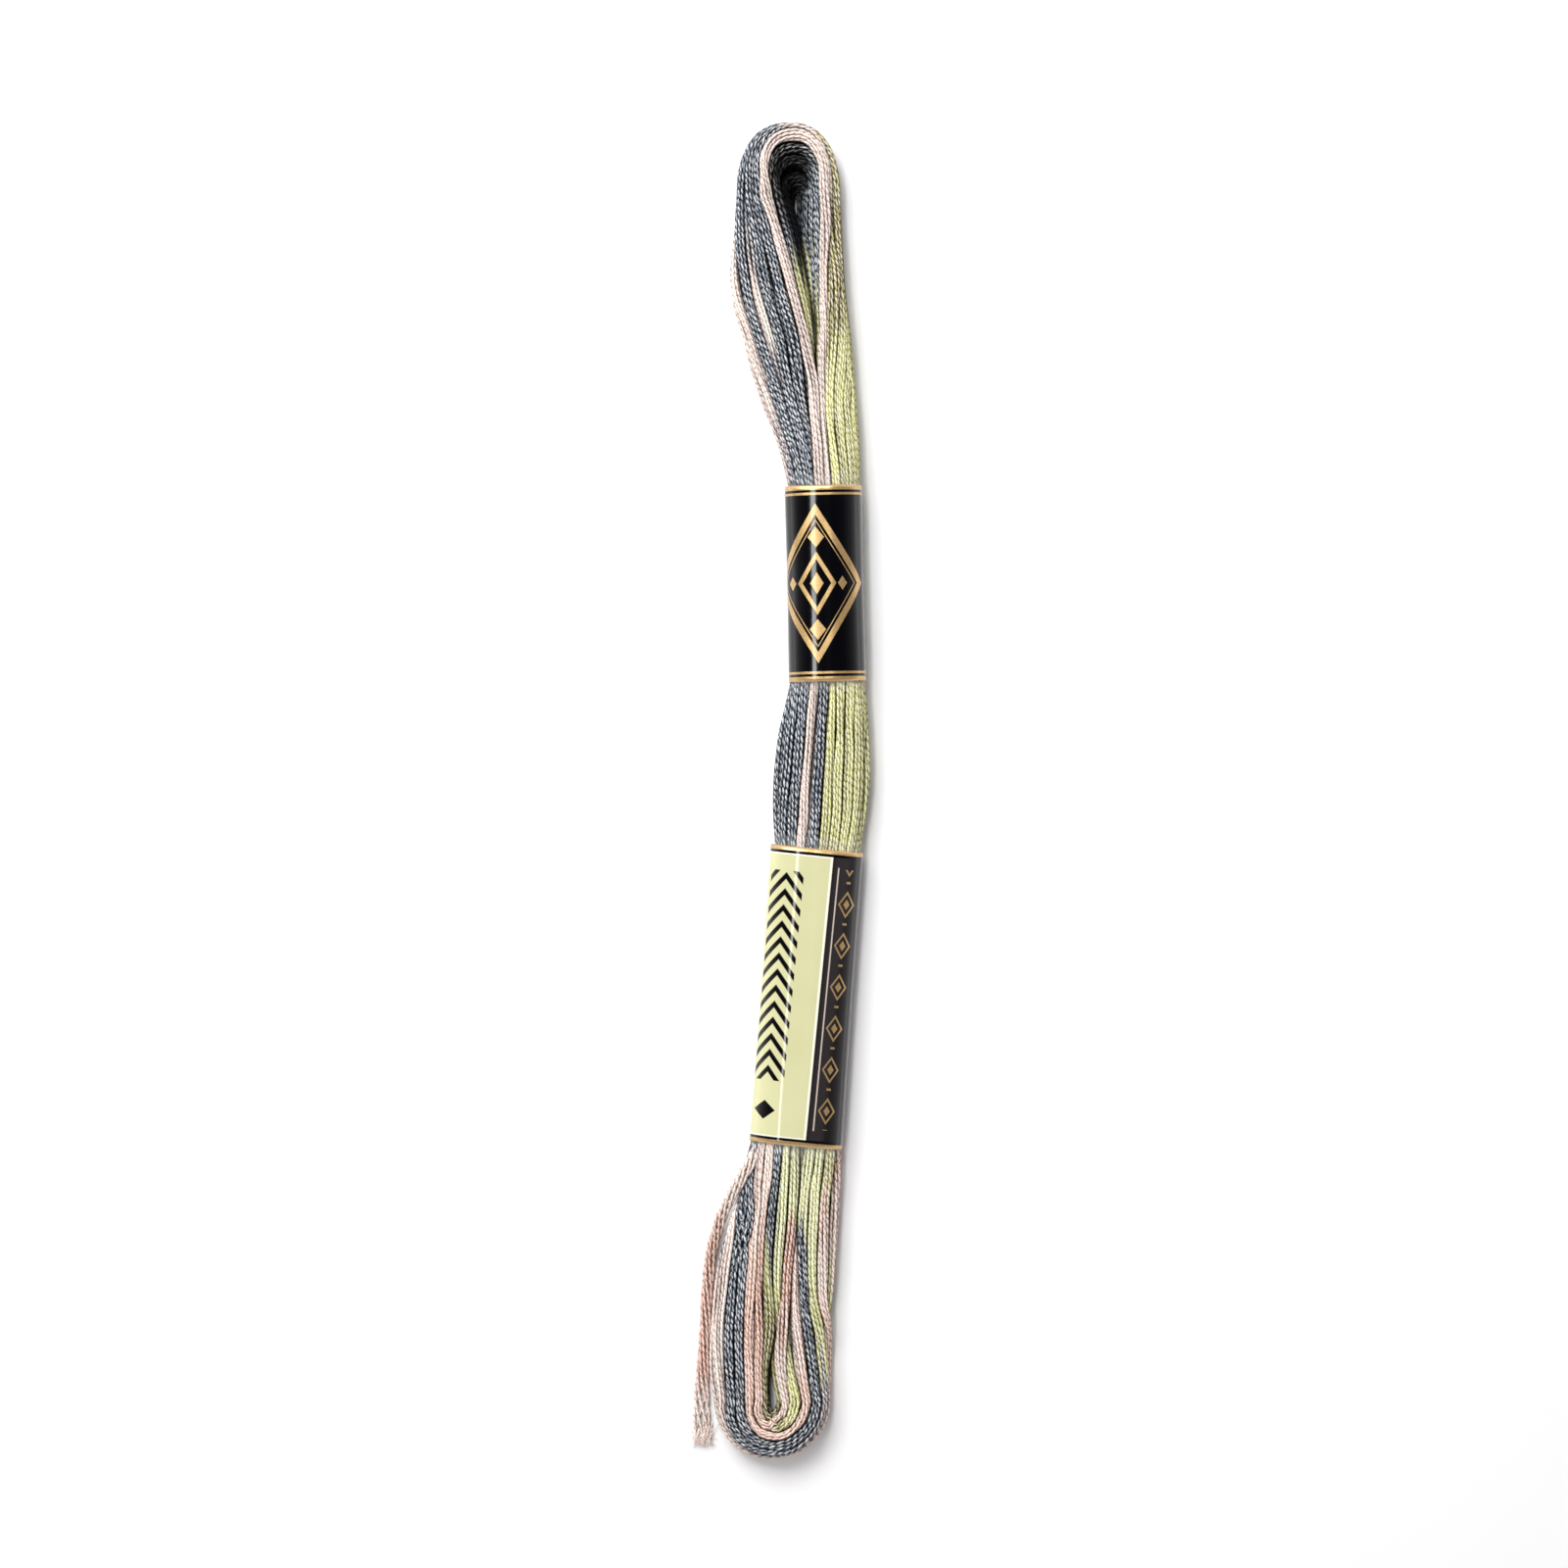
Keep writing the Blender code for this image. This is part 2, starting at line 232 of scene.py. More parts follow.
def seeded_wave(rng, shape, reach):
    """Smooth noise along the last axis, about -1 to 1, that wanders over reach stations."""
    raw = rng.normal(size=shape)
    count = shape[-1]
    frequency = np.fft.rfftfreq(count)
    keep = np.exp(-(frequency * reach) ** 2)
    wave = np.fft.irfft(np.fft.rfft(raw, axis=-1) * keep, n=count, axis=-1)
    return wave / (wave.std(axis=-1, keepdims=True) + 1e-9) * 0.6


class Hank:
    """The stations of one turn: left leg up, top loop, right leg down, bottom loop.

    A station has its outer point, the unit direction inward across the turns, the width for the
    lowest turns, how much less of it the highest turns have, how far in a strand may reach, and
    the height. A strand's place at a station is (a, z): the outer point plus a times the inward
    direction, at height z.
    """

    def __init__(self):
        rows = np.array(OUTLINE)[::-1]
        y = np.linspace(rows[0, 0], rows[-1, 0], LEG_STATIONS)
        edge = [smooth_rows(np.interp(y, rows[:, 0], row), passes=3) for row in rows.T[1:]]
        left, left_in, right_in, right, high = edge
        self.y, self.left, self.right = y, left, right
        joined = smooth_rows(np.where(right_in - left_in > 0.02, 0.0, 1.0), passes=8) ** 2
        closing = np.interp(y, (EYE_CLOSES, y[-1]), (CLOSED_LEGS, TOP_LOOP["closed"]))
        closed = np.where(y > 0.0, closing, BOTTOM_LOOP["closed"])
        drawn = closed * (right_in - left_in) / 2.0

        self.leg = LEG_STATIONS
        self.left_leg = slice(0, self.leg)
        self.top_arc = slice(self.leg, self.leg + TOP_STATIONS)
        self.right_leg = slice(self.top_arc.stop, self.top_arc.stop + self.leg)
        self.bottom_arc = slice(self.right_leg.stop, self.right_leg.stop + BOTTOM_STATIONS)
        self.count = self.bottom_arc.stop

        whole = right - left
        up = self._leg(left, y, 1.0, left_in - left + drawn, drawn, joined, whole, high)
        over = self._bend(TOP_LOOP, TOP_STATIONS, 1.0, edge, -1, y)
        down = self._leg(right, y, -1.0, right - right_in + drawn, drawn, joined, whole, high)
        under = self._bend(BOTTOM_LOOP, BOTTOM_STATIONS, -1.0, edge, 0, y)
        tables = [up, over, [row[::-1] for row in down], [row[::-1] for row in under]]
        tables = [np.concatenate(column) for column in zip(*tables)]
        self.outer, self.inward, self.width, self.drawn, self.reach, self.high = tables

        leaning = smooth_rows(np.clip((y - LEAN_START) / LEAN_STRETCH, 0.0, 1.0), passes=3)
        dark = smooth_share(y, *GLOOM)
        none = np.zeros(self.leg)
        self.tilt = self._round(leaning, 1.0, leaning[::-1], 0.0)
        # Painted shade in the top eye, and the edge that it spares.
        self.gloom = self._round(dark, np.linspace(1.0, RIGHT_GLOOM, TOP_STATIONS),
                                 RIGHT_GLOOM * dark[::-1], 0.0)
        self.shelf = self._round(none, np.linspace(0.0, SHELF, TOP_STATIONS), SHELF, 0.0)
        self.over = self._round(none, 0.0, smooth_share(y[::-1], *HANDOVER), 1.0)
        self.cut = int(np.abs(y - HIDDEN_CUT).argmin())

    def _round(self, left, top, right, bottom):
        """One value for each station, from those of the legs and the loops."""
        values = np.zeros(self.count)
        for part, value in [(self.left_leg, left), (self.top_arc, top),
                            (self.right_leg, right), (self.bottom_arc, bottom)]:
            values[part] = value
        return values

    @staticmethod
    def _leg(edge, y, side, width, drawn, joined, whole, high):
        """A straight leg: its inward direction is across, and its reach grows in the trunk."""
        outer = np.stack([edge, y], 1)
        inward = np.stack([np.full_like(y, side), np.zeros_like(y)], 1)
        return [outer, inward, width, drawn, width + joined * (whole - width), high]

    @staticmethod
    def _bend(loop, count, side, edge, end, y):
        """Half a superellipse from leg to leg, and the half ellipses of its eye, upper and lower.

        The lower eye is the upper one shrunk about its middle by the share that is closed.
        """
        left, left_in, right_in, right, high = [row[end] for row in edge]
        share = np.arange(1, count + 1) / (count + 1)
        cos_a, sin_a = np.cos(pi * (1.0 - share)), np.sin(pi * share)
        power = 2.0 / loop["square"]
        middle, half = (left + right) / 2.0, (right - left) / 2.0
        eye_middle, eye_half = (left_in + right_in) / 2.0, (right_in - left_in) / 2.0
        outer = np.stack([middle + half * np.sign(cos_a) * np.abs(cos_a) ** power,
                          y[end] + side * loop["reach"] * sin_a ** power], 1)
        centre = np.array([eye_middle, y[end]])
        upper_eye = np.stack([eye_half * cos_a, side * loop["eye"] * sin_a], 1)
        lower_eye = centre + upper_eye * (1.0 - loop["closed"])
        across = lower_eye - outer
        width = np.linalg.norm(across, axis=1)
        drawn = loop["closed"] * np.linalg.norm(upper_eye, axis=1)
        drawn = np.minimum(drawn, width - 2.0)
        height = high + (loop["high"] - high) * sin_a
        return [outer, across / width[:, None], width, drawn, width.copy(), height]

    def there(self, turns):
        """Where the turns are: the first starts and the last ends inside the lower sleeve."""
        there = np.ones((turns, self.count), bool)
        there[0, :self.cut] = False
        there[-1, self.right_leg.stop - self.cut:] = False
        return there

    def lane(self, column):
        """How far inward an uppermost strand lies; over the loops its share of the width goes
        evenly from one leg's to the other's."""
        upper = self.width - self.drawn
        a = np.zeros(self.count)
        levels, left, right = zip(*LANES[::-1])
        for rows, leg, edge, side in [(left, self.left_leg, self.left, 1),
                                      (right, self.right_leg, self.right, -1)]:
            middles = np.interp(self.y, levels, [row[column] for row in rows])
            a[leg] = (side * (smooth_rows(middles, passes=6) - edge))[::side]
        share = a / upper
        for arc in (self.top_arc, self.bottom_arc):
            a[arc] = self._over_loop(share, arc) * upper[arc]
        return a

    def dip(self, column):
        """How far an uppermost strand goes under: bells of depth along the legs."""
        depth = np.zeros(self.count)
        for side, place, middle, half, size in DIPS:
            if place == column:
                bell = size * np.exp(-1.5 * ((self.y - middle) / half) ** 4)
                leg = self.left_leg if side == "left" else self.right_leg
                depth[leg] += bell if side == "left" else bell[::-1]
        depth[self.bottom_arc] = self._over_loop(depth, self.bottom_arc)
        return depth

    def _over_loop(self, values, arc):
        """Values over a loop that go evenly from one leg's last to the other leg's first."""
        count = arc.stop - arc.start
        run = np.arange(1, count + 1) / (count + 1)
        return values[arc.start - 1] * (1.0 - run) + values[arc.stop % self.count] * run

    def place(self, a, z):
        """Points (x, y, z) of strands at (a, z)."""
        x, y, inward_x, inward_y = beside(a, *self.outer.T, *self.inward.T)
        return np.stack([x + a * inward_x, y + a * inward_y, z], -1)

    def keep_inside(self, a, z, wide, tall, share):
        """Draw strands back into the section: a superellipse that is flatter below."""
        reach, drawn, high = beside(a, self.reach, self.drawn, self.high)
        limit = reach - drawn * raised_share(z / high)
        half = np.maximum(limit / 2.0 - wide, 0.05)
        half_high = high / 2.0 - tall
        across = (a - limit / 2.0) / half
        up = (z - high / 2.0) / half_high
        square = np.where(up < 0.0, LOWER_SQUARENESS, SQUARENESS)
        size = (np.abs(across) ** square + np.abs(up) ** square) ** (1.0 / square)
        shrink = np.where(size > 1.0, 1.0 / size, 1.0)
        a_in = limit / 2.0 + across * shrink * half
        z_in = high / 2.0 + up * shrink * half_high
        return a + share * (a_in - a), z + share * (z_in - z)


def beside(strands, *tables):
    """Tables of the stations' values, shaped to go with strands, whose axis 1 the stations are."""
    return [table.reshape(-1, *(1,) * (strands.ndim - 2)) for table in tables]


def raised_share(height):
    """How much of the eye stands open at a share of the height: none low down, all at the top."""
    return np.clip((height - 0.35) / 0.5, 0.0, 1.0)


def push_apart(x, z, wide, tall, share, room):
    """How far strands of each section move so that none is closer than (wide, tall) to another.

    The distance is measured in widths and heights, d = |(dx / wide, dz / tall)| over the pair's
    room, and a pair that is closer than one moves apart along its line by share of (1 - d).
    """
    dx = (x[..., :, None] - x[..., None, :]) / wide
    dz = (z[..., :, None] - z[..., None, :]) / tall
    distance = np.sqrt(dx * dx + dz * dz) / room + 1e-6
    push = np.clip(1.0 - distance, 0.0, None) * share / distance
    return (dx * push).sum(-1) * wide, (dz * push).sum(-1) * tall


# How far apart the stretches that aren't there are lifted, so that they push nothing, by what
# share of what they lack pairs move apart each round, by what share strays are drawn in, and how
# much more room plies of unlike turns keep.
FAR_AWAY = 40.0
PUSH = 0.4
DRAW_IN = 0.6
TURN_GAP = 1.4


def flat(block):
    """Strands, indexed (turn, station, ...), as rows of the sections, indexed (station, strand)."""
    return np.moveaxis(block, 1, 0).reshape(block.shape[1], -1)


def pack(hank, a, z, weight, wide, tall, rounds, hold, soften):
    """Relax strands, indexed (turn, station, ...), into each other's hollows.

    Every round pulls them to their goal, where they started, by a share that falls from hold[0]
    to hold[1] times the turn's weight, pushes close pairs apart in each section, keeps them in
    the hank, and softens their displacement along the chain with the (1, 2, 1) / 4 average.
    Stretches of a turn that aren't there are lifted far away, so they take no room. On the legs
    both legs' strands share a section, so that they don't run into each other in the trunk.
    """
    a_goal, z_goal = a.copy(), z.copy()
    weight = weight.reshape(-1, *(1,) * (a.ndim - 1))
    away = np.where(hank.there(len(a)), 0.0, FAR_AWAY * (1.0 + np.arange(len(a)))[:, None])
    away = away.reshape(*away.shape, *(1,) * (a.ndim - 2))
    plies = int(np.prod(a.shape[2:]))
    left, right = hank.left_leg, hank.right_leg
    arcs = np.r_[hank.top_arc, hank.bottom_arc]

    def full(block):
        return np.moveaxis(block.reshape(len(block), len(a), *a.shape[2:]), 0, 1)

    for step in range(rounds):
        pull = hold[0] + (hold[1] - hold[0]) * step / max(1, rounds - 1)
        a = a + pull * weight * (a_goal - a)
        z = z + pull * weight * (z_goal - z)
        raised = z + away

        x_left = hank.left[:, None] + flat(a[:, left])
        x_right = hank.right[:, None] - flat(a[:, right])[::-1]
        both_x = np.concatenate([x_left, x_right], 1)
        both_z = np.concatenate([flat(raised[:, left]), flat(raised[:, right])[::-1]], 1)
        move_x, move_z = push_sections(both_x, both_z, wide, tall, plies)
        half = x_left.shape[1]
        a[:, left] += full(move_x[:, :half])
        z[:, left] += full(move_z[:, :half])
        a[:, right] -= full(move_x[::-1, half:])
        z[:, right] += full(move_z[::-1, half:])
        move_a, move_z = push_sections(flat(a[:, arcs]), flat(raised[:, arcs]), wide, tall, plies)
        a[:, arcs] += full(move_a)
        z[:, arcs] += full(move_z)

        a, z = hank.keep_inside(a, z, 0.5 * wide, 0.5 * tall, DRAW_IN)
        for _ in range(soften):
            a = a_goal + soften_chain(a - a_goal)
            z = z_goal + soften_chain(z - z_goal)
    return a, z


def push_sections(x, z, wide, tall, plies):
    """push_apart over all the sections; plies of unlike turns keep a little more room."""
    turn = np.arange(x.shape[1]) // plies
    room = np.where(turn[:, None] == turn[None], 1.0, TURN_GAP if plies > 1 else 1.0)
    moves = [push_apart(row_x, row_z, wide, tall, PUSH, room) for row_x, row_z in zip(x, z)]
    return np.array(moves).swapaxes(0, 1)


def soften_chain(values):
    """The (1, 2, 1) / 4 average along the whole chain of turns."""
    turns, stations = values.shape[:2]
    chain = values.reshape(turns * stations, *values.shape[2:])
    before = np.concatenate([chain[:1], chain[:-1]])
    after = np.concatenate([chain[1:], chain[-1:]])
    return (0.25 * before + 0.5 * chain + 0.25 * after).reshape(values.shape)


def next_turn(values):
    """The following turn's values; the last turn keeps its own."""
    return np.concatenate([values[1:], values[-1:]])


# How far the uppermost and the other turns start out of true, and how far all of them wander, as
# shares of the hank. The uppermost lie at TOP_SHARE of the height, wander by LANE_DRIFT in
# millimetres, and are pulled to their goals TOP_WEIGHT times as hard. The others' pull, at first
# and at last, is HOLD.
UNTRUE = (0.01, 0.05)
DRIFT = 0.03
TOP_SHARE = 0.97
LANE_DRIFT = 0.24
TOP_WEIGHT = 2.5
HOLD = (0.25, 0.03)


def wind_turns(hank, turns, wide, tall, rng, rounds):
    """Places (a, z) of the turns, indexed (turn, station), their columns, and which turns are the
    uppermost.

    Turns are laid in layers, to and fro between the outer edge and the eye, so that each turn
    lies beside the last. The goal of a turn is its own share of the width and of the height, a
    little out of true, and for an uppermost turn its lane and its dips. It moves over to the next
    turn's goal on its way down through the lower sleeve.
    """
    columns = turns // LAYERS
    layer, column = np.divmod(np.arange(turns), columns)
    column = np.where(layer % 2 == 1, column, columns - 1 - column)
    uppermost = layer == LAYERS - 1
    jitter = np.where(uppermost, *UNTRUE)
    outward = (column + 0.5) / columns + jitter * rng.uniform(-1.0, 1.0, turns)
    upward = (layer + 0.5) / LAYERS + jitter * rng.uniform(-1.0, 1.0, turns)
    upward = np.where(uppermost, TOP_SHARE, upward)
    drift = seeded_wave(rng, (2, turns * hank.count), reach=35)
    drift = drift.reshape(2, turns, hank.count)
    outward = np.clip(outward[:, None] + DRIFT * drift[0], 0.02, 0.98)
    upward = np.clip(upward[:, None] + DRIFT * drift[1], 0.05, 1.0)
    width = hank.width - hank.drawn * raised_share(upward)
    a_goal = 0.5 * wide + outward * (width - wide)
    sunk = np.zeros(a_goal.shape)
    for turn in np.flatnonzero(uppermost):
        a_goal[turn] = hank.lane(column[turn]) + LANE_DRIFT * drift[0, turn]
        sunk[turn] = hank.dip(column[turn])
        outward[turn] = a_goal[turn] / (hank.width - hank.drawn)
    z_goal = 0.5 * tall + upward * (hank.high - tall) - sunk
    z_goal = z_goal + hank.tilt * (outward - 1.0) * upward * LEAN_SLOPE
    a_goal, z_goal = [goal * (1.0 - hank.over) + next_turn(goal) * hank.over
                      for goal in (a_goal, z_goal)]
    weight = np.where(uppermost, TOP_WEIGHT, 1.0)
    a, z = pack(hank, a_goal, z_goal, weight, wide, tall, rounds, HOLD, soften=2)
    return a, z, column, uppermost


# The ring that a turn's plies start on: the stations it takes to turn round once, how much that
# wanders, its half width and half height in plies, and how loose the plies lie, in millimetres.
RING_STATIONS = 52.0
RING_WANDER = 0.16
RING_SIZE = (0.98, 0.66)
RING_LOOSE = (0.13, 0.10)
PLY_HOLD = (0.10, 0.04)


def lay_plies(hank, a, z, plies, wide, tall, rng, rounds):
    """Places (a, z) of the plies, indexed (turn, station, ply).

    The plies of a turn start on a flattened ring that turns slowly along the chain and wanders;
    then they are packed against all the others.
    """
    turns = a.shape[0]
    along = np.arange(turns * hank.count).reshape(turns, hank.count)
    wander = seeded_wave(rng, (turns * hank.count,), reach=25).reshape(turns, hank.count)
    turn = 2.0 * pi * (along / RING_STATIONS + RING_WANDER * wander)
    angle = turn[..., None] + 2.0 * pi * np.arange(plies) / plies
    loosen = seeded_wave(rng, (2, plies, turns * hank.count), reach=5)
    loosen = np.moveaxis(loosen.reshape(2, plies, turns, hank.count), 1, 3)
    a_goal = a[..., None] + RING_SIZE[0] * wide * np.cos(angle) + RING_LOOSE[0] * loosen[0]
    z_goal = z[..., None] + RING_SIZE[1] * tall * np.sin(angle) + RING_LOOSE[1] * loosen[1]
    return pack(hank, a_goal, z_goal, np.ones(turns), wide, tall, rounds, PLY_HOLD, soften=1)


def dye_turns(hank, column, uppermost, table):
    """Colours of the turns, indexed (turn, station, rgb).

    A turn has the dye string of its column, from the uppermost layer's list or from the one for
    the layers below, and from the lower sleeve on the next turn's. Between two letters the dye
    goes over in a smooth step.
    """
    up = np.interp(LEVELS, hank.y, np.arange(hank.leg))
    crown = np.interp(CROWN_SHARES, (0.0, 1.0), (hank.top_arc.start, hank.top_arc.stop))
    bottom = (hank.bottom_arc.start + hank.bottom_arc.stop) / 2.0
    places = np.concatenate([up, crown, hank.right_leg.stop - 1 - up[::-1],
                             [bottom, hank.count]])
    rows = [(UPPER_DYES if high else LOWER_DYES)[place] for place, high in zip(column, uppermost)]
    codes = np.array([[table[letter] for letter in "".join(row).replace(" ", "")] for row in rows])
    below = 2 * len(LEVELS) + len(CROWN_SHARES) - 1 - HANDOVER_LEVEL
    codes = np.concatenate([codes[:, :below], next_turn(codes)[:, below:]], 1)
    codes = np.concatenate([codes, next_turn(codes)[:, :1]], 1)
    position = np.interp(np.arange(hank.count), places, np.arange(len(places)))
    low = np.minimum(position.astype(int), len(places) - 2)
    blend = smooth_share(position - low, 0.15, 0.85)[None, :, None]
    return codes[:, low] * (1.0 - blend) + codes[:, low + 1] * blend


# How near above a ply others don't cover it, how much what is open from above, from outside and
# from below counts, the painted light share where all is covered, and how much painted shade a
# turn's sides get.
COVER_GAP = 0.45
OPEN_WEIGHTS = (1.0, 0.9, 0.7)
LEAST_LIGHT = 0.1
SIDE_SHADE = 0.25


def open_light(hank, a, z, wide, tall):
    """How open to the light the plies are, indexed (turn, station, ply): one on the outside.

    In each section a ply is covered from above by the plies that lie over it: the sum, over the
    others, of a tent of one width across times how many heights they lie above it, less the gap
    and at most one. It is covered from outside and from below in the same way, and the most open
    of the three, by its weight, is taken. A ply gets a little painted shade at the sides of its
    turn. Down in the eye of the top loop painted shade darkens it too, less so on the right leg's
    inner wall. The share goes into the alpha of the dye attribute, where the floss material
    paints shade and dims its painted highlight by it.
    """
    turns, count, plies = a.shape
    x, up = flat(a) / wide, flat(z) / tall
    covered = np.zeros((3, *x.shape))
    for station in range(count):
        dx = x[station][:, None] - x[station][None]
        dz = up[station][None] - up[station][:, None]
        near, level = [np.clip(1.0 - np.abs(far), 0.0, 1.0) for far in (dx, dz)]
        for side, (tent, over) in enumerate([(near, dz), (level, dx), (near, -dz)]):
            covered[side, station] = (tent * np.clip(over - COVER_GAP, 0.0, 1.0)).sum(1)
    share = (1.0 - np.clip(covered, 0.0, 1.0)) * np.array(OPEN_WEIGHTS)[:, None, None]
    light = LEAST_LIGHT + (1.0 - LEAST_LIGHT) * share.max(0)
    light = np.moveaxis(light.reshape(count, turns, plies), 0, 1)
    aside = np.abs(a - a.mean(2, keepdims=True)) / wide
    # Painted shade at the sides of each turn.
    light = light * (1.0 - SIDE_SHADE * smooth_share(aside, 0.75, 1.5))
    # Painted shade deep in the top eye.
    inward = a - (hank.width - hank.drawn + hank.shelf)[None, :, None]
    below = np.clip(1.6 - z / (0.8 * hank.high[None, :, None]), 0.0, 1.0)
    dusk = smooth_share(inward, -0.5, 1.7) * below * hank.gloom[None, :, None]
    return light * (1.0 - dusk) ** 2


def smooth_share(value, start, end):
    """Zero before start, one after end, and a smooth step between."""
    step = np.clip((value - start) / (end - start), 0.0, 1.0)
    return step * step * (3.0 - 2.0 * step)


def between_stations(points, pieces):
    """Catmull-Rom points along axis 0, pieces of them from each station to the next."""
    before = np.concatenate([2.0 * points[:1] - points[1:2], points[:-2]])
    start, end = points[:-1], points[1:]
    after = np.concatenate([points[2:], 2.0 * points[-1:] - points[-2:-1]])
    rows = []
    for piece in range(pieces):
        t = piece / pieces
        rows.append(0.5 * (2.0 * start + (end - before) * t
                           + (2.0 * before - 5.0 * start + 4.0 * end - after) * t ** 2
                           + (3.0 * start - before - 3.0 * end + after) * t ** 3))
    curve = np.stack(rows, 1).reshape(-1, *points.shape[1:])
    return np.concatenate([curve, points[-1:]])


# ---------------------------------------------------------------- meshes

# How many rows of the map OFBake a tube takes and what share of a row is margin, and how much
# wider than round a tube is.
STRIP_ROWS = 6
STRIP_MARGIN = 0.16
FLATTEN = 1.04


def frames(paths):
    """Unit vectors at each ring of paths: the tangent, the level one square to it, and the third,
    square to both and upward."""
    tangent = np.gradient(paths, axis=-2)
    tangent /= np.linalg.norm(tangent, axis=-1, keepdims=True)
    level = np.stack([tangent[..., 1], -tangent[..., 0], np.zeros(paths.shape[:-1])], -1)
    level /= np.linalg.norm(level, axis=-1, keepdims=True) + 1e-9
    upward = np.cross(level, tangent)
    return tangent, level, upward * np.where(upward[..., 2:] < 0.0, -1.0, 1.0)


def tube_faces(vertices):
    """Quads round closed tubes of vertices (tube, ring, side), the vertices' numbers, and the order
    of a quad's corners that makes it face outwards."""
    index = np.arange(vertices[..., 0].size).reshape(vertices.shape[:3])
    here, beyond = index[:, :-1], index[:, 1:]
    quads = np.stack([here, np.roll(here, -1, 2), np.roll(beyond, -1, 2), beyond], -1)
    corner = vertices.reshape(-1, 3)[quads[0, 0]]
    normal = np.cross(corner[:, 1] - corner[:, 0], corner[:, 3] - corner[:, 0])
    outward = corner.mean(1) - vertices[0, 0].mean(0)
    order = slice(None, None, -1 if (normal * outward).sum() < 0.0 else 1)
    return quads.reshape(-1, 4)[:, order], index, order


def quad_map(u, v):
    """A map's corners, indexed (tube, ring, side, corner, uv), from u (side, start and end) and
    v (tube, ring)."""
    ends = np.stack([v[:, :-1], v[:, :-1], v[:, 1:], v[:, 1:]], -1)[:, :, None]
    return np.stack(np.broadcast_arrays(u[:, [0, 1, 1, 0]], ends), -1)


def carry_round(paths, radii, colours, sides, pitch, phase, name, seen=(0.0, 1.0)):
    """Tubes carried along many paths at once, closed at both ends, as one mesh object.

    paths is (path, ring, xyz) in millimetres. At each ring a point is the ring's centre plus the
    radius times (FLATTEN sin u along the level vector, -cos u / FLATTEN along the upward one), so
    u = 0 runs along the underside. The map Floss is (u, length / pitch + phase), with u over the
    seen stretch, and OFBake lays every tube out in rows that don't overlap.
    """
    tubes, rings = paths.shape[:2]
    level, upward = frames(paths)[1:]
    angle = 2.0 * pi * np.arange(sides) / sides
    across = level[:, :, None] * np.sin(angle)[:, None] * FLATTEN
    lift = upward[:, :, None] * -np.cos(angle)[:, None] / FLATTEN
    vertices = paths[:, :, None] + radii[..., None, None] * (across + lift)
    quads, index, order = tube_faces(vertices)
    caps = np.concatenate([index[:, 0, ::-1], index[:, -1]])[:, order]

    steps = np.linalg.norm(np.diff(paths, axis=1, prepend=paths[:, :1]), axis=2)
    length = np.cumsum(steps, 1)
    u = np.stack([np.arange(sides), np.arange(1, sides + 1)], 1) / sides
    floss = quad_map(seen[0] + (seen[1] - seen[0]) * u, length / pitch + phase[:, None])
    per_row = -(-(rings - 1) // STRIP_ROWS)
    step = np.arange(rings - 1)
    row = step // per_row + STRIP_ROWS * np.arange(tubes)[:, None]
    start = (step % per_row) / per_row
    start = np.stack([start, start, start + 1.0 / per_row, start + 1.0 / per_row], -1)
    inner = STRIP_MARGIN + (1.0 - 2.0 * STRIP_MARGIN) * u[:, [0, 1, 1, 0]]
    bake = np.stack(np.broadcast_arrays(
        0.01 + 0.98 * start[None, :, None],
        (row[:, :, None, None] + inner) / (tubes * STRIP_ROWS)), -1)

    floss, bake = [corners.reshape(-1, 4, 2)[:, order] for corners in (floss, bake)]
    shift = 0.98 * np.repeat(np.arange(len(caps)) / len(caps), sides)
    around = np.tile(angle, len(caps))
    spots = np.stack([0.004 + 0.002 * np.cos(around), 0.004 + 0.002 * np.sin(around) + shift], 1)
    uv = {"Floss": np.concatenate([floss.reshape(-1, 2),
                                   np.repeat(floss[:1, 0], len(caps) * sides, 0)]),
          "OFBake": np.concatenate([bake.reshape(-1, 2), spots])}
    tint = np.repeat(colours.reshape(-1, 4), sides, 0)
    return build_mesh(name, vertices.reshape(-1, 3), [quads, caps], uv, tint)


def build_mesh(name, vertices, face_sets, uv, tint=None):
    """A smooth-shaded mesh object from arrays, scaled from millimetres to metres."""
    sizes = np.concatenate([np.full(len(faces), faces.shape[1]) for faces in face_sets])
    loops = np.concatenate([faces.reshape(-1) for faces in face_sets]).astype(np.int32)
    starts = np.concatenate([[0], np.cumsum(sizes)[:-1]]).astype(np.int32)
    mesh = bpy.data.meshes.new(name)
    mesh.vertices.add(len(vertices))
    mesh.vertices.foreach_set("co", (vertices * MM).astype(np.float32).ravel())
    mesh.loops.add(len(loops))
    mesh.loops.foreach_set("vertex_index", loops)
    mesh.polygons.add(len(sizes))
    mesh.polygons.foreach_set("loop_start", starts)
    mesh.update(calc_edges=True)
    for key, corners in uv.items():
        layer = mesh.uv_layers.new(name=key, do_init=False)
        layer.data.foreach_set("uv", corners.astype(np.float32).ravel())
    if tint is not None:
        # The dye's colour, with the painted light share in the alpha.
        layer = mesh.color_attributes.new("dye", "FLOAT_COLOR", "POINT")
        layer.data.foreach_set("color", tint.astype(np.float32).ravel())
    mesh.shade_smooth()
    mesh.validate()
    return new_object(name, mesh)


def new_object(name, data):
    """An object of its data, in the scene."""
    item = bpy.data.objects.new(name, data)
    bpy.context.scene.collection.objects.link(item)
    return item


# ---------------------------------------------------------------- materials

# How soft the edge of a printed shape is, in millimetres.
PRINT_SOFT = 0.03


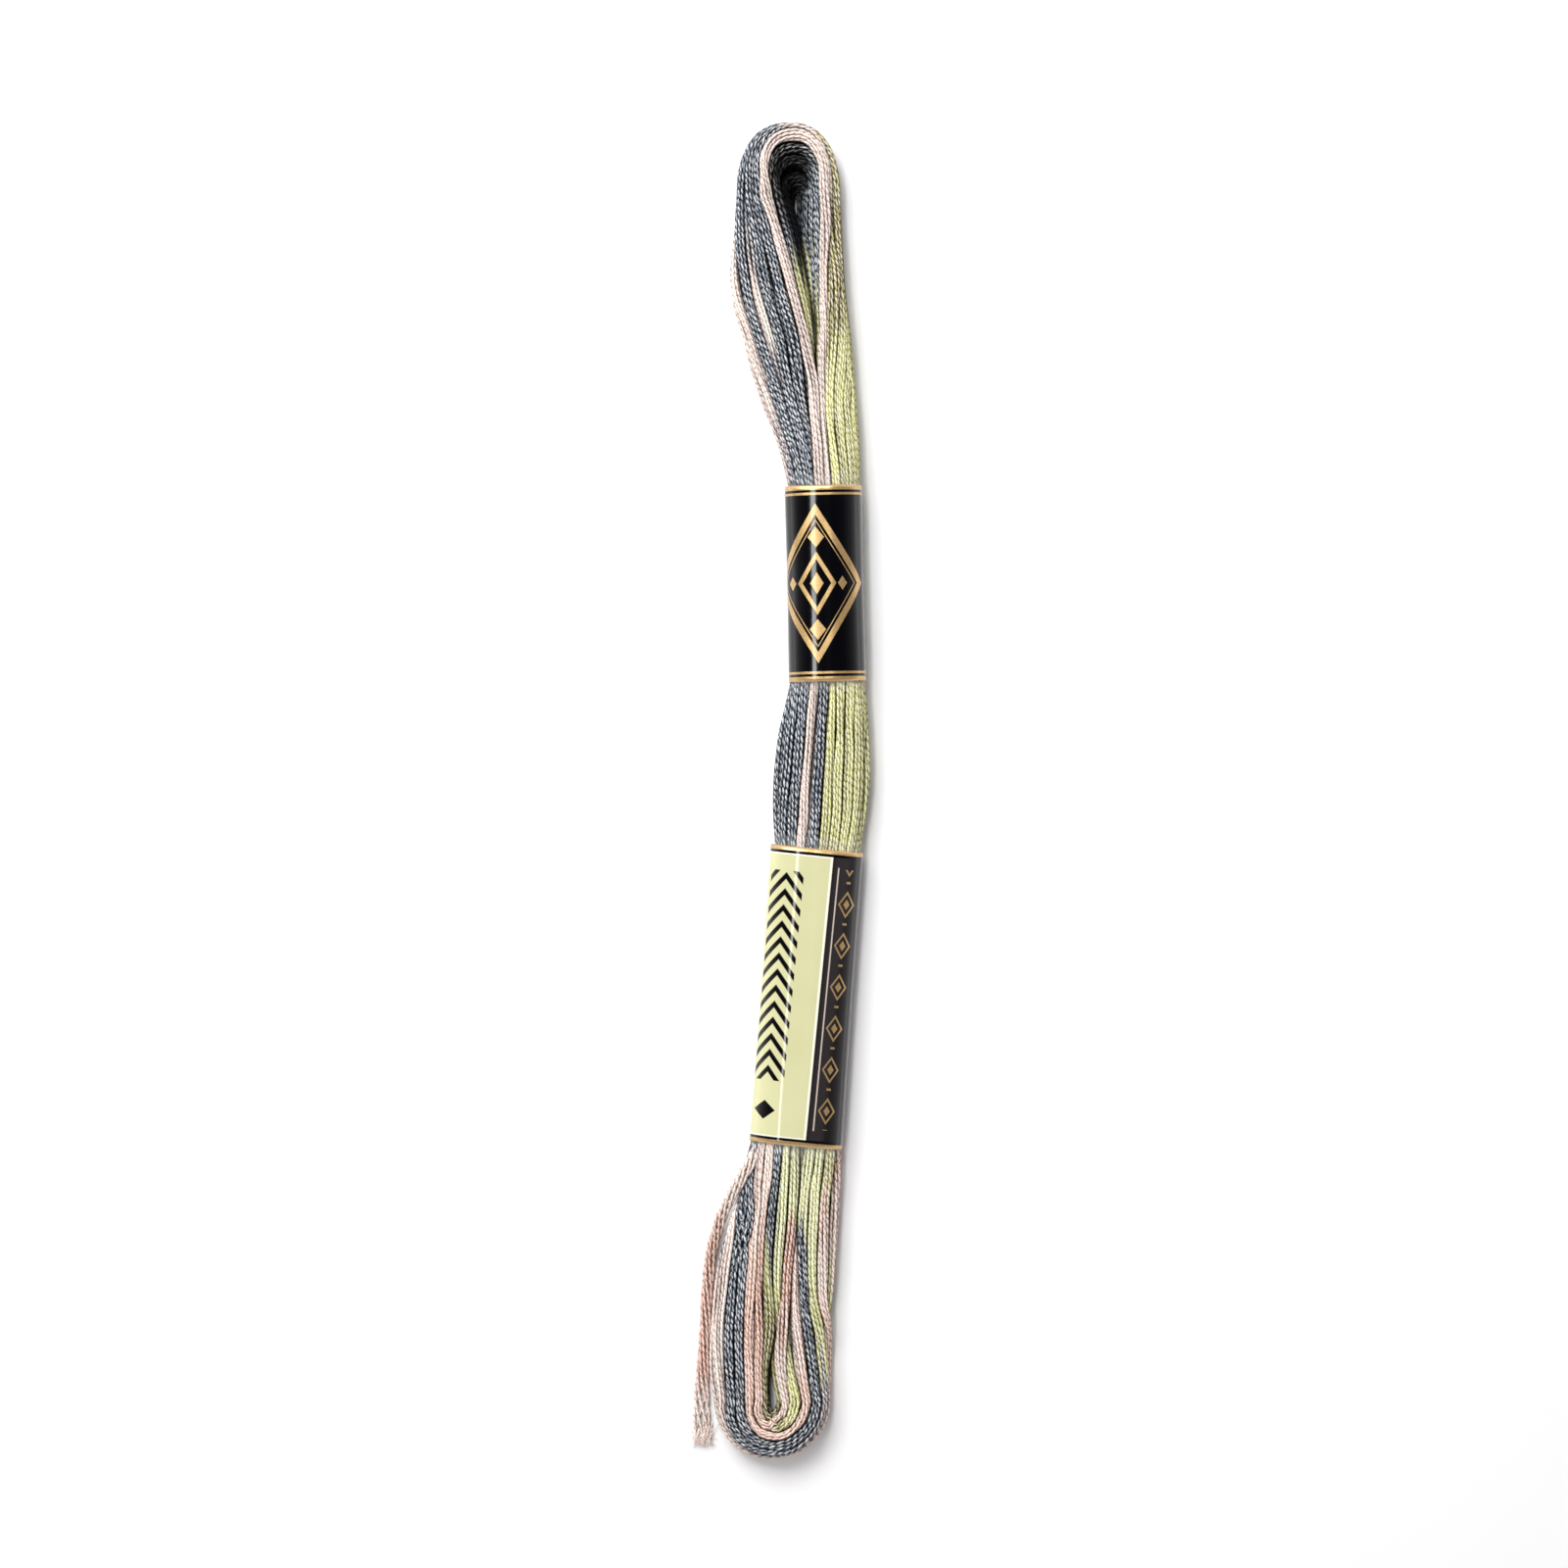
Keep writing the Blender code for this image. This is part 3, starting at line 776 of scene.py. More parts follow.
class Maths:
    """A socket whose arithmetic adds Math nodes."""

    def __init__(self, nodes, socket):
        self.nodes, self.socket = nodes, socket

    def _math(self, operation, *values):
        inputs = {k: getattr(v, "socket", v) for k, v in enumerate(values)}
        return Maths(self.nodes, self.nodes.add("ShaderNodeMath", {"operation": operation},
                                                inputs).outputs[0])

    def above(self, edge, soft):
        """Zero below the edge and one above it, over a soft width."""
        node = self.nodes.add("ShaderNodeMapRange", {"interpolation_type": "SMOOTHSTEP"},
                              {"Value": self.socket, "From Min": edge - soft,
                               "From Max": edge + soft})
        return Maths(self.nodes, node.outputs[0])

    def below(self, edge, soft):
        """One below the edge and zero above it, over a soft width."""
        return 1.0 - self.above(edge, soft)

    def band(self, start, end, soft=PRINT_SOFT):
        """One between start and end, over soft edges."""
        return self.above(start, soft) * self.below(end, soft)


def maths_method(operation, turned=False):
    """A method that adds one Math node, its two operands turned round if asked."""
    def method(self, *others):
        values = (self, *others)
        return self._math(operation, *values[::-1 if turned else 1])
    return method


Maths.__rsub__ = maths_method("SUBTRACT", turned=True)
for method_name, node_operation in {
        "__add__": "ADD", "__radd__": "ADD", "__sub__": "SUBTRACT", "__mul__": "MULTIPLY",
        "__rmul__": "MULTIPLY", "__truediv__": "DIVIDE", "__pow__": "POWER", "sine": "SINE",
        "absolute": "ABSOLUTE", "sign": "SIGN", "fraction": "FRACT", "least": "MINIMUM",
        "most": "MAXIMUM"}.items():
    setattr(Maths, method_name, maths_method(node_operation))


class Nodes:
    """The nodes of a new material or world, all added by one method."""

    def __init__(self, owner, shader="Principled BSDF"):
        owner.use_nodes = True
        self.owner, self.tree = owner, owner.node_tree
        self.shader = self.tree.nodes[shader]

    def add(self, kind, settings=None, inputs=None):
        node = self.tree.nodes.new(kind)
        for key, value in (settings or {}).items():
            setattr(node, key, value)
        for key, value in (inputs or {}).items():
            self.feed(node.inputs[key], value)
        return node

    def feed(self, socket, value):
        value = getattr(value, "socket", value)
        if isinstance(value, bpy.types.NodeSocket):
            self.tree.links.new(value, socket)
        else:
            socket.default_value = value

    def value(self, socket):
        return Maths(self, socket)

    def map_axes(self, name):
        """The u and v of one of the piece's maps."""
        source = self.add("ShaderNodeUVMap", {"uv_map": name})
        split = self.add("ShaderNodeSeparateXYZ", inputs={0: source.outputs[0]})
        return self.value(split.outputs[0]), self.value(split.outputs[1])

    def vector(self, x, y, z=0.0):
        return self.add("ShaderNodeCombineXYZ", inputs={0: x, 1: y, 2: z}).outputs[0]

    def noise(self, vector, scale, detail=2.0, roughness=0.5):
        node = self.add("ShaderNodeTexNoise", inputs={"Vector": vector, "Scale": scale,
                                                      "Detail": detail, "Roughness": roughness})
        return self.value(node.outputs[0])

    def object_place(self):
        return self.add("ShaderNodeTexCoord").outputs["Object"]

    def mix(self, factor, first, second, blend="MIX"):
        """A colour between two others, each an output or an RGB triple."""
        inputs = {0: factor, 6: rgba(first), 7: rgba(second)}
        return self.add("ShaderNodeMix", {"data_type": "RGBA", "blend_type": blend},
                        inputs).outputs[2]

    def times(self, first, second):
        """The product of two colours."""
        return self.mix(1.0, first, second, "MULTIPLY")

    def bump(self, height, distance, strength):
        inputs = {"Height": height, "Distance": distance, "Strength": strength}
        return self.add("ShaderNodeBump", inputs=inputs).outputs[0]

    def finish(self, **sockets):
        """Feed the shader's inputs, whose spaces are written as underscores."""
        for key, value in sockets.items():
            self.feed(self.shader.inputs[key.replace("_", " ")], value)
        return self.owner


def new_material(name):
    """The nodes of a new material."""
    return Nodes(bpy.data.materials.new(name))


def rgba(colour):
    """A colour for a socket: an output as it is, a triple with its alpha."""
    if isinstance(colour, bpy.types.NodeSocket):
        return colour
    return (*tuple(colour)[:3], 1.0)


def floss_material(name, settings):
    """Mercerised cotton: two fine strands twisted into each ply, satin on their crests, mostly
    as a painted highlight.

    Seen across the ply, with X = sin(2 pi (u - 1/2)) and the twist's angle t = 2 pi (v + sway),
    the two strands stand at 1/2 sin t and -1/2 sin t. A strand's height is the half circle over
    its place plus cos t on the side that is looked at, and the relief is half the higher of the
    two. The dye gets painted shade where the relief is low and at the ply's two sides, the less
    the paler it is, and goes dark as painted shade where the dye attribute's alpha, the painted
    light share, is low. A painted highlight whitens the crests, in streaks of fibre and in slower
    dashes.
    """
    nodes = new_material(name)
    u, v = nodes.map_axes("Floss")
    # The dye, and the painted light share in the alpha.
    dye_and_painted_light = nodes.add("ShaderNodeAttribute", {"attribute_name": "dye"})
    dye, painted_light = dye_and_painted_light.outputs["Color"], nodes.value(dye_and_painted_light.outputs["Alpha"])
    sway = (nodes.noise(nodes.vector(u * 0.4, v * 0.5), 1.0, 1.0) - 0.5) * 1.2
    turn = (v + sway) * (2.0 * pi)
    side = ((u - 0.25) * (2.0 * pi)).sine()
    across = ((u - 0.5) * (2.0 * pi)).sine()
    lean, front = turn.sine() * 0.5, (turn + pi / 2.0).sine() * side.sign()

    def strand(way):
        offset = (across - lean * way) * 1.7
        return (1.0 - offset * offset).most(0.0) ** 0.5 + front * way

    relief = strand(1.0).most(strand(-1.0)) * 0.5
    fibre = nodes.noise(nodes.vector(u * 8.0 + v * 5.0, v * 1.2), 5.0, 3.0, 0.65)
    streak = ((fibre - 0.34) * 5.7).most(0.2).least(1.8)
    dash = nodes.noise(nodes.vector(v * 2.4, u * 0.3), 1.0, 1.0)
    dash = ((dash - 0.34) * 4.0).most(0.25).least(1.0)
    # Painted shade: the dye, deepened, darkens the twist's grooves and the ply's sides, less for
    # pale dyes.
    deep = nodes.mix(0.55, dye, dye, "MULTIPLY")
    groove, edge = nodes.times(deep, settings.painted_groove_shade), nodes.times(deep, settings.painted_edge_shade)
    pale = nodes.value(nodes.add("ShaderNodeRGBToBW", inputs={0: dye}).outputs[0])
    body = nodes.mix(relief.above(0.47 - pale * 0.14, 0.22), groove, dye)
    body = nodes.mix(across.absolute().above(0.76, 0.22) * (1.0 - pale * 0.7), body, edge)
    # Painted shade where the painted light share is low.
    body = nodes.mix(painted_light, nodes.times(body, (0.06, 0.05, 0.05)), body)
    # Painted highlight: the crests whitened in streaks and dashes, dimmed where the painted light
    # share is low.
    crest = relief.above(0.56, 0.22) * across.absolute().below(0.72, 0.22)
    lift = (crest * dash * painted_light * settings.crest_light * streak).least(1.0)
    body = nodes.mix(lift, body, nodes.mix(0.88 - pale * 0.42, dye, (1.0, 1.0, 1.0)))
    normal = nodes.bump(relief + fibre * 0.15, settings.twist_depth, 1.0)
    roughness = 0.46 - crest * 0.14 + (fibre - 0.5) * 0.12 + (1.0 - painted_light) * 0.5
    return nodes.finish(Base_Color=body, Roughness=roughness, Normal=normal, Sheen_Weight=0.04,
                        Sheen_Roughness=0.35, Specular_IOR_Level=0.10)


def paint(nodes, ground, masks):
    """Colours laid over a ground one after the other, each where its mask is one."""
    for mask, colour in masks:
        ground = nodes.mix(mask, ground, colour)
    return ground


def lozenge(across, along, middle, half_across, half_along):
    """How far a place is from a lozenge's middle, one on its outline."""
    return ((across - middle[0]) / half_across).absolute() \
        + ((along - middle[1]) / half_along).absolute()


def gold_flakes(nodes, settings):
    """Gold ink, from its darker to its lighter tone."""
    flake = nodes.noise(nodes.object_place(), 3800.0, 2.0, 0.7)
    return nodes.mix(flake, settings.gold_dark, settings.gold_light)


def film_finish(nodes, colour, gold):
    """Printed film: a glossy clear face over ink, with faint scuffs and waves."""
    place = nodes.object_place()
    scuff = nodes.noise(place, 900.0, 4.0, 0.6)
    wave = nodes.noise(place, 120.0, 2.0, 0.5)
    foil = nodes.noise(place, 5200.0, 2.0, 0.7)
    normal = nodes.bump(wave * 0.5 + scuff * 0.05 + foil * gold * 0.3, 0.00012, 0.5)
    return nodes.finish(Base_Color=colour, Roughness=scuff * 0.06 + 0.08 + gold * 0.24,
                        Metallic=gold * 0.65, Coat_Weight=scuff * 0.2 + 0.55, Normal=normal,
                        Coat_Roughness=0.06, Specular_IOR_Level=0.25)


def black_sleeve_material(settings, length):
    """Black print with gold end lines, a wide one and a thin one, and gold lozenges: large outlines
    nested about a solid one, and four small solid ones round that."""
    nodes = new_material("black_gloss_film")
    around, along = nodes.map_axes("Sleeve")
    inside = length / 2.0 - along.absolute()
    gold = inside.band(-1.0, 0.62).most(inside.band(0.98, 1.28))
    middle = 5.6
    large = lozenge(around, along, (middle, 0.0), 6.4, 10.4)
    for start, end, soft in [(0.86, 1.0, 0.006), (0.78, 0.80, 0.006), (0.30, 0.40, 0.008)]:
        gold = gold.most(large.band(start, end, soft))
    gold = gold.most(large.below(0.14, 0.01))
    for way in (-1.0, 1.0):
        small = lozenge(around, along, (middle, 6.0 * way), 1.1, 1.35)
        side = lozenge(around, along, (middle + 3.4 * way, 0.0), 0.6, 0.9)
        gold = gold.most(small.below(1.0, 0.04)).most(side.below(1.0, 0.05))
    colour = paint(nodes, settings.black_ink, [(gold, gold_flakes(nodes, settings))])
    return film_finish(nodes, colour, gold)


# How far round the green print runs for each length along, to follow its slanted ends.
PRINT_SLANT = 0.026


def green_sleeve_material(settings, length):
    """Pale green print with a black chevron band and a black lozenge, and a dark panel with a thin
    frame line and a column of gold lozenges and ticks."""
    nodes = new_material("green_gloss_film")
    around, along = nodes.map_axes("Sleeve")
    around = around - along * PRINT_SLANT
    half = length / 2.0
    inside = half - along.absolute()
    gold_line = inside.band(-1.0, 0.55)
    black_line = inside.band(0.55, 0.92)
    pale_line = inside.band(0.92, 1.10)
    panel_edge = settings.panel_edge / MM
    dark = around.band(panel_edge, 22.0)
    border = around.band(panel_edge - 0.32, panel_edge - 0.05)
    pale = pale_line.most(border) * (1.0 - dark)

    chevron = ((around - 3.2).absolute() * 0.55 + along / 2.1).fraction().band(0.18, 0.62, 0.05)
    bars = chevron * around.band(0.9, 5.5, 0.04) * along.band(-11.2, half - 3.2, 0.04)
    tile = ((along + 0.2) / 3.3).fraction() * 3.3
    mark = lozenge(around, tile, (3.2, 1.65), 1.5, 1.25)
    ink = bars.most(mark.below(1.0, 0.04) * along.band(-half + 3.0, -13.2))

    cell = ((along + 1.0) / 5.4).fraction() * 5.4
    gem_middle = panel_edge + 2.35
    gem = lozenge(around, cell, (gem_middle, 2.7), 1.15, 1.75)
    tick = (around - gem_middle).absolute().most(cell)
    gold = gem.band(0.78, 1.0).most(gem.below(0.38, 0.04)).most(tick.below(0.28, 0.03))
    gold = (gold * along.band(-half + 2.4, half - 2.4) * dark).most(gold_line)
    frame_line = around.band(panel_edge + 0.75, panel_edge + 0.93)
    frame_line = frame_line * along.band(-half + 2.2, half - 2.2)
    # Painted reflection: the dark panel is paler near its edge.
    painted_sheen = around.band(panel_edge + 0.2, panel_edge + 2.2, 0.5)
    tint = nodes.noise(nodes.object_place(), 80.0, 2.0, 0.5)
    colour = paint(nodes, nodes.mix(tint, settings.green_ink, settings.green_pale), [
        (dark, nodes.mix(painted_sheen, settings.dark_ink, settings.dark_panel_painted_sheen)),
        (pale, (0.86, 0.85, 0.76)),
        (ink * (1.0 - dark), settings.black_ink),
        (black_line, settings.black_ink),
        (frame_line * dark, (0.55, 0.46, 0.40)),
        (gold, gold_flakes(nodes, settings)),
    ])
    return film_finish(nodes, colour, gold)


def clear_film_material():
    """Clear film over the floss at a sleeve's two ends: thin, glossy and a little milky."""
    nodes = new_material("clear_gloss_film")
    haze = nodes.noise(nodes.object_place(), 420.0, 3.0, 0.6)
    colour = nodes.mix(haze, (0.80, 0.79, 0.76), (0.95, 0.95, 0.94))
    return nodes.finish(Base_Color=colour, Roughness=haze * 0.1 + 0.12, Alpha=haze * 0.05 + 0.02,
                        Normal=nodes.bump(haze, 0.00008, 0.6), Specular_IOR_Level=0.7)


# ---------------------------------------------------------------- sleeves

SLEEVE_RINGS = 60
CUFF_RINGS = 6
SLEEVE_POINTS = 120
FILM_SQUARENESS = 2.4
FILM_LIFT = 0.06

# Ripples of the film: how high they are and how fast they run round the sleeve.
RIPPLES = ((0.014, 1.3), (0.008, 2.4), (0.005, 3.7), (0.03, 0.6))

# The sleeves: where their middle is, how far they lean and their ends are slanted on top of that,
# in degrees, their outside sizes, and how much of the width the middle is drawn in.
SLEEVES = {
    "upper": {"x": 5.38, "y": 27.0, "lean": 1.3, "skew": 0.0, "length": 28.3, "width": 10.1,
              "height": 6.3, "waist": 0.012, "node": "upper_band", "slot": "black_film",
              "material": black_sleeve_material},
    "lower": {"x": 2.90, "y": -26.87, "lean": -4.1, "skew": -1.6, "length": 41.6, "width": 12.1,
              "height": 5.5, "waist": 0.01, "node": "lower_band", "slot": "green_film",
              "material": green_sleeve_material},
}


def sleeve_section(width, height, points):
    """A flattened tube's section: a superellipse that stands on the surface.

    Starts at the left edge and goes over the top. Returns x, z and the length along it, in even
    steps.
    """
    angle = pi - 2.0 * pi * np.arange(points + 1) / points
    power = 2.0 / FILM_SQUARENESS
    x, z = [size / 2.0 * np.sign(wave) * np.abs(wave) ** power
            for size, wave in ((width, np.cos(angle)), (height, np.sin(angle)))]
    length = np.cumsum(np.hypot(np.diff(x, prepend=x[0]), np.diff(z, prepend=z[0])))
    even = np.linspace(0.0, length[-1], points + 1)
    return np.interp(even, length, x), np.interp(even, length, z) + height / 2.0, even


def film_tube(name, sleeve, start, end, film, waves, rings):
    """Part of a sleeve from start to end along it, as a film of its own thickness.

    A point is the section's point plus the ripples on top, as a sum of slow sines round and along,
    turned by the lean and moved to the sleeve's middle; a ring is slanted by the skew besides. The
    map Sleeve is (length round from the left edge, distance along) in millimetres.
    """
    along = np.linspace(start, end, rings)[:, None]
    x, z, around = sleeve_section(sleeve["width"], sleeve["height"], SLEEVE_POINTS)
    ripple = sum(size * np.sin(around * per_round + along * per_length + phase)
                 for (size, per_round), per_length, phase in waves)
    top = smooth_share(z / sleeve["height"], 0.25, 0.8)
    x = x * (1.0 - sleeve["waist"] * np.cos(pi * along / sleeve["length"]) ** 2)
    lean = np.radians(sleeve["lean"])
    askew = np.radians(sleeve["lean"] + sleeve["skew"])
    vertices = np.stack([sleeve["x"] + x * np.cos(lean) - along * np.sin(lean),
                         sleeve["y"] + x * np.sin(askew) + along * np.cos(lean),
                         FILM_LIFT + z + ripple * top], -1)[None, :, :-1]
    quads, _, order = tube_faces(vertices)
    corners = quad_map(np.stack([around[:-1], around[1:]], 1), along.T)
    corners = corners.reshape(-1, 4, 2)[:, order]
    item = build_mesh(name, vertices.reshape(-1, 3), [quads], {"Sleeve": corners.reshape(-1, 2)})
    wall = item.modifiers.new("film", "SOLIDIFY")
    wall.thickness = film
    wall.offset = -1.0
    return item


def join(items, name):
    """One object from several, named."""
    bpy.ops.object.select_all(action="DESELECT")
    for item in items:
        item.select_set(True)
    bpy.context.view_layer.objects.active = items[0]
    bpy.ops.object.join()
    items[0].name = name
    return items[0]


# ---------------------------------------------------------------- settings

def length_property(name, description, default):
    """A property that is a length."""
    return FloatProperty(name=name, description=description, default=default, precision=6,
                         unit="LENGTH")


def colour_property(name, description, default):
    """A property that is a colour."""
    return FloatVectorProperty(name=name, description=description, default=default,
                               subtype="COLOR")


class FlossSettings(PropertyGroup):
    """How the floss is wound, twisted and dyed, and its painted shade and highlights."""

    turns: IntProperty(name="Turns", description="Turns of floss in the hank", default=24, min=8)
    plies: IntProperty(name="Plies", description="Plies in the floss", default=6, min=3, max=8)
    ply_width: length_property("Ply width", "Distance between plies side by side", 0.00047)
    ply_height: length_property("Ply height", "Distance between stacked plies", 0.00038)
    ply_radius: length_property("Ply radius", "Half the thickness of a ply", 0.000215)
    twist_pitch: length_property("Twist pitch", "Length of one turn of a ply", 0.0020)
    twist_depth: length_property("Twist depth", "Depth of the ply's groove", 0.00012)
    # Painted highlight: how white the ply's crests are painted.
    crest_light: FloatProperty(name="Crest light", description="How white a ply's crest is",
                               default=1.0, min=0.0, max=1.0, subtype="FACTOR")
    # Painted shade: the colours that darken the dye between a ply's strands and between the plies.
    painted_groove_shade: colour_property("Groove", "Shade between a ply's strands", (0.34, 0.29, 0.27))
    painted_edge_shade: colour_property("Edge", "Shade between the plies", (0.05, 0.045, 0.045))


for dye_letter, (dye_name, dye_colour) in DYES.items():
    FlossSettings.__annotations__[dye_name.lower().replace(" ", "_")] = colour_property(
        dye_name, f"Dye {dye_letter}", dye_colour)


class LooseEndSettings(PropertyGroup):
    """How thick the loose end is and how it frays."""

    diameter: length_property("Diameter", "Thickness of the loose floss", 0.0012)
    fibres: IntProperty(name="Fibres", description="Fine fibres at the cut tip", default=150)
    fibre_radius: length_property("Fibre radius", "Half a fibre's thickness", 0.000040)


class SleeveSettings(PropertyGroup):
    """The sleeves' film and inks, and a painted reflection on the dark panel."""

    film: length_property("Film", "Thickness of the film", 0.00012)
    margin: length_property("Clear margin", "Clear film past the print", 0.0014)
    panel_edge: length_property("Panel edge", "Where the dark panel starts", 0.0091)
    black_ink: colour_property("Black", "Black ink", (0.002, 0.002, 0.003))
    dark_ink: colour_property("Dark panel", "Soft black ink", (0.010, 0.009, 0.009))
    # Painted reflection: the paler stretch of the dark panel near its edge.
    dark_panel_painted_sheen: colour_property("Dark panel, pale", "Its paler stretch", (0.028, 0.024, 0.026))
    green_ink: colour_property("Green", "Pale green ink", (0.53, 0.525, 0.27))
    green_pale: colour_property("Green, pale", "Its lighter tone", (0.66, 0.65, 0.39))
    gold_dark: colour_property("Gold, dark", "Gold ink in shade", (0.38, 0.22, 0.07))
    gold_light: colour_property("Gold, light", "Gold ink in light", (0.74, 0.52, 0.25))


class StageSettings(PropertyGroup):
    """The camera, the lights and the surface."""

    view_width: length_property("View width", "Width of the view at the surface", 0.2048)
    lens: FloatProperty(name="Lens", description="Focal length in millimetres", default=100.0,
                        unit="CAMERA")
    key_power: FloatProperty(name="Key light", description="Power in watts", default=6.2,
                             subtype="POWER")
    strip_power: FloatProperty(name="Strip light", description="Power in watts", default=1.0,
                               subtype="POWER")
    sky: FloatProperty(name="Sky", description="Strength of the even light", default=0.34,
                       subtype="FACTOR")
    floor_colour: colour_property("Floor", "Colour of the surface", (0.92, 0.92, 0.925))


def settings_of(context):
    """The floss, loose end, sleeve and stage settings."""
    scene = context.scene
    return scene.skein_floss, scene.skein_loose_end, scene.skein_sleeves, scene.skein_stage


def dye_table(floss):
    """The dyes by their letters."""
    return {letter: tuple(getattr(floss, name.lower().replace(" ", "_")))
            for letter, (name, _) in DYES.items()}


def dress(item, material, node):
    """Give a finished piece its material, hide its CAD node, and let it ride the body."""
    item.data.materials.clear()
    item.data.materials.append(material)
    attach(item, "root")
    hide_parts(node)
    return item


# ---------------------------------------------------------------- operators

# How much room a turn takes across and upward, in plies, while the turns are packed, and how many
# rounds the turns and the plies are packed for.
TURN_ROOM = (2.9, 1.95)
TURN_ROUNDS = 260
PLY_ROUNDS = 14

# How the plies of a turn differ: the stations that a dye's borders are shifted by, how much the
# tone of the dye and the thickness vary, and how much of a darker tone the painted light share
# takes on.
DYE_SHIFT = 2.5
TONE_CHANGE = 0.18
TONE_IN_LIGHT = 0.9
THICKNESS_CHANGE = 0.05

PLY_SIDES = 6
FARTHEST_PHASE = 900.0
TURNS_IN_PIECE = 2


class SKEIN_OT_wind(Operator):
    """Wind the hank: every turn of floss with its plies, in pieces of a few turns"""

    bl_idname = "skein.wind"
    bl_label = "Wind the Hank"

    def execute(self, context):
        floss = settings_of(context)[0]
        rng = np.random.default_rng(SEED)
        hank = Hank()
        wide, tall = floss.ply_width / MM, floss.ply_height / MM
        a, z, column, uppermost = wind_turns(hank, floss.turns, TURN_ROOM[0] * wide,
                                             TURN_ROOM[1] * tall, rng, TURN_ROUNDS)
        dyes = dye_turns(hank, column, uppermost, dye_table(floss))
        ply_a, ply_z = lay_plies(hank, a, z, floss.plies, wide, tall, rng, PLY_ROUNDS)
        ply_z = np.maximum(ply_z, floss.ply_radius / MM)
        chain = hank.place(ply_a, ply_z).reshape(-1, floss.plies, 3)
        shift = DYE_SHIFT * seeded_wave(rng, (floss.plies, len(chain)), reach=50).T
        place = np.arange(len(chain))[:, None] + shift
        colours = dyes.reshape(-1, 3)[np.clip(place.astype(int), 0, len(chain) - 1)]
        tone = seeded_wave(rng, (floss.plies, len(chain)), reach=12).T[..., None]
        tone = 1.0 + TONE_CHANGE * tone
        # Painted light share: painted shade where plies are covered and in the top eye, in the
        # alpha.
        light = open_light(hank, ply_a, ply_z, wide, tall).reshape(len(chain), -1, 1)
        light = light * np.clip(1.0 + TONE_IN_LIGHT * (tone - 1.0), 0.0, 1.0)
        colours = np.concatenate([colours * tone, light], -1)
        material = floss_material("mercerised_floss", floss)
        last = len(chain) - hank.count + hank.right_leg.stop - hank.cut
        starts = list(range(hank.cut, last, TURNS_IN_PIECE * hank.count))
        if last - starts[-1] < hank.count // 2:
            starts.pop()
        for number, start in enumerate(starts):
            end = starts[number + 1] if number + 1 < len(starts) else last
            path, tint = [between_stations(values[start:end + 1], pieces=2).swapaxes(0, 1)
                          for values in (chain, colours)]
            radii = np.full(path.shape[:2], floss.ply_radius / MM)
            radii *= 1.0 + THICKNESS_CHANGE * seeded_wave(rng, radii.shape, reach=6)
            phase = rng.uniform(0.0, FARTHEST_PHASE, floss.plies)
            piece = carry_round(path, radii, np.clip(tint, 0.0, 1.0), PLY_SIDES,
                                floss.twist_pitch / MM, phase, f"floss_turns_{number + 1:02d}")
            dress(piece, material, "skein")
        return {"FINISHED"}


# The route of the loose end, as its solid in the CAD has it, with a start inside the sleeve.
LOOSE_END_EXIT = (-4.05, -47.85, 4.40)
LOOSE_END_ROUTE = [
    (-3.10, -45.60, 4.55),
    LOOSE_END_EXIT,
    (-5.45, -50.30, 4.05),
    (-7.00, -53.20, 3.15),
    (-8.25, -56.00, 2.20),
    (-9.15, -59.00, 1.30),
    (-9.80, -62.50, 0.80),
    (-10.15, -66.50, 0.62),
    (-10.40, -71.00, 0.60),
    (-10.65, -75.50, 0.60),
    (-10.80, -80.00, 0.60),
    (-10.72, -85.00, 0.60),
]
LOOSE_END_DYES = "PPPPROOOOOPP"

# The loose end's ring of plies: how often it turns round and how much that wanders, its half width
# and half height in plies, how loose the plies lie, how far they spread and sink towards the tip,
# how far short the shortest is cut, and how far the root dives under the sleeve.
LOOSE_TURNS, LOOSE_WANDER = 2.3, 0.05
LOOSE_RING = (1.18, 0.62)
LOOSENESS = 0.05
TIP_SPREAD, TIP_SINK = 0.75, 0.2
TIP_SHORT = 1.2
ROOT_DIVE = 1.1

# A fibre shows a single strand's crest, with its painted highlight, so its pitch is long and
# its map narrow.
FIBRE_PITCH = 1e4
FIBRE_SEEN = (0.47, 0.53)


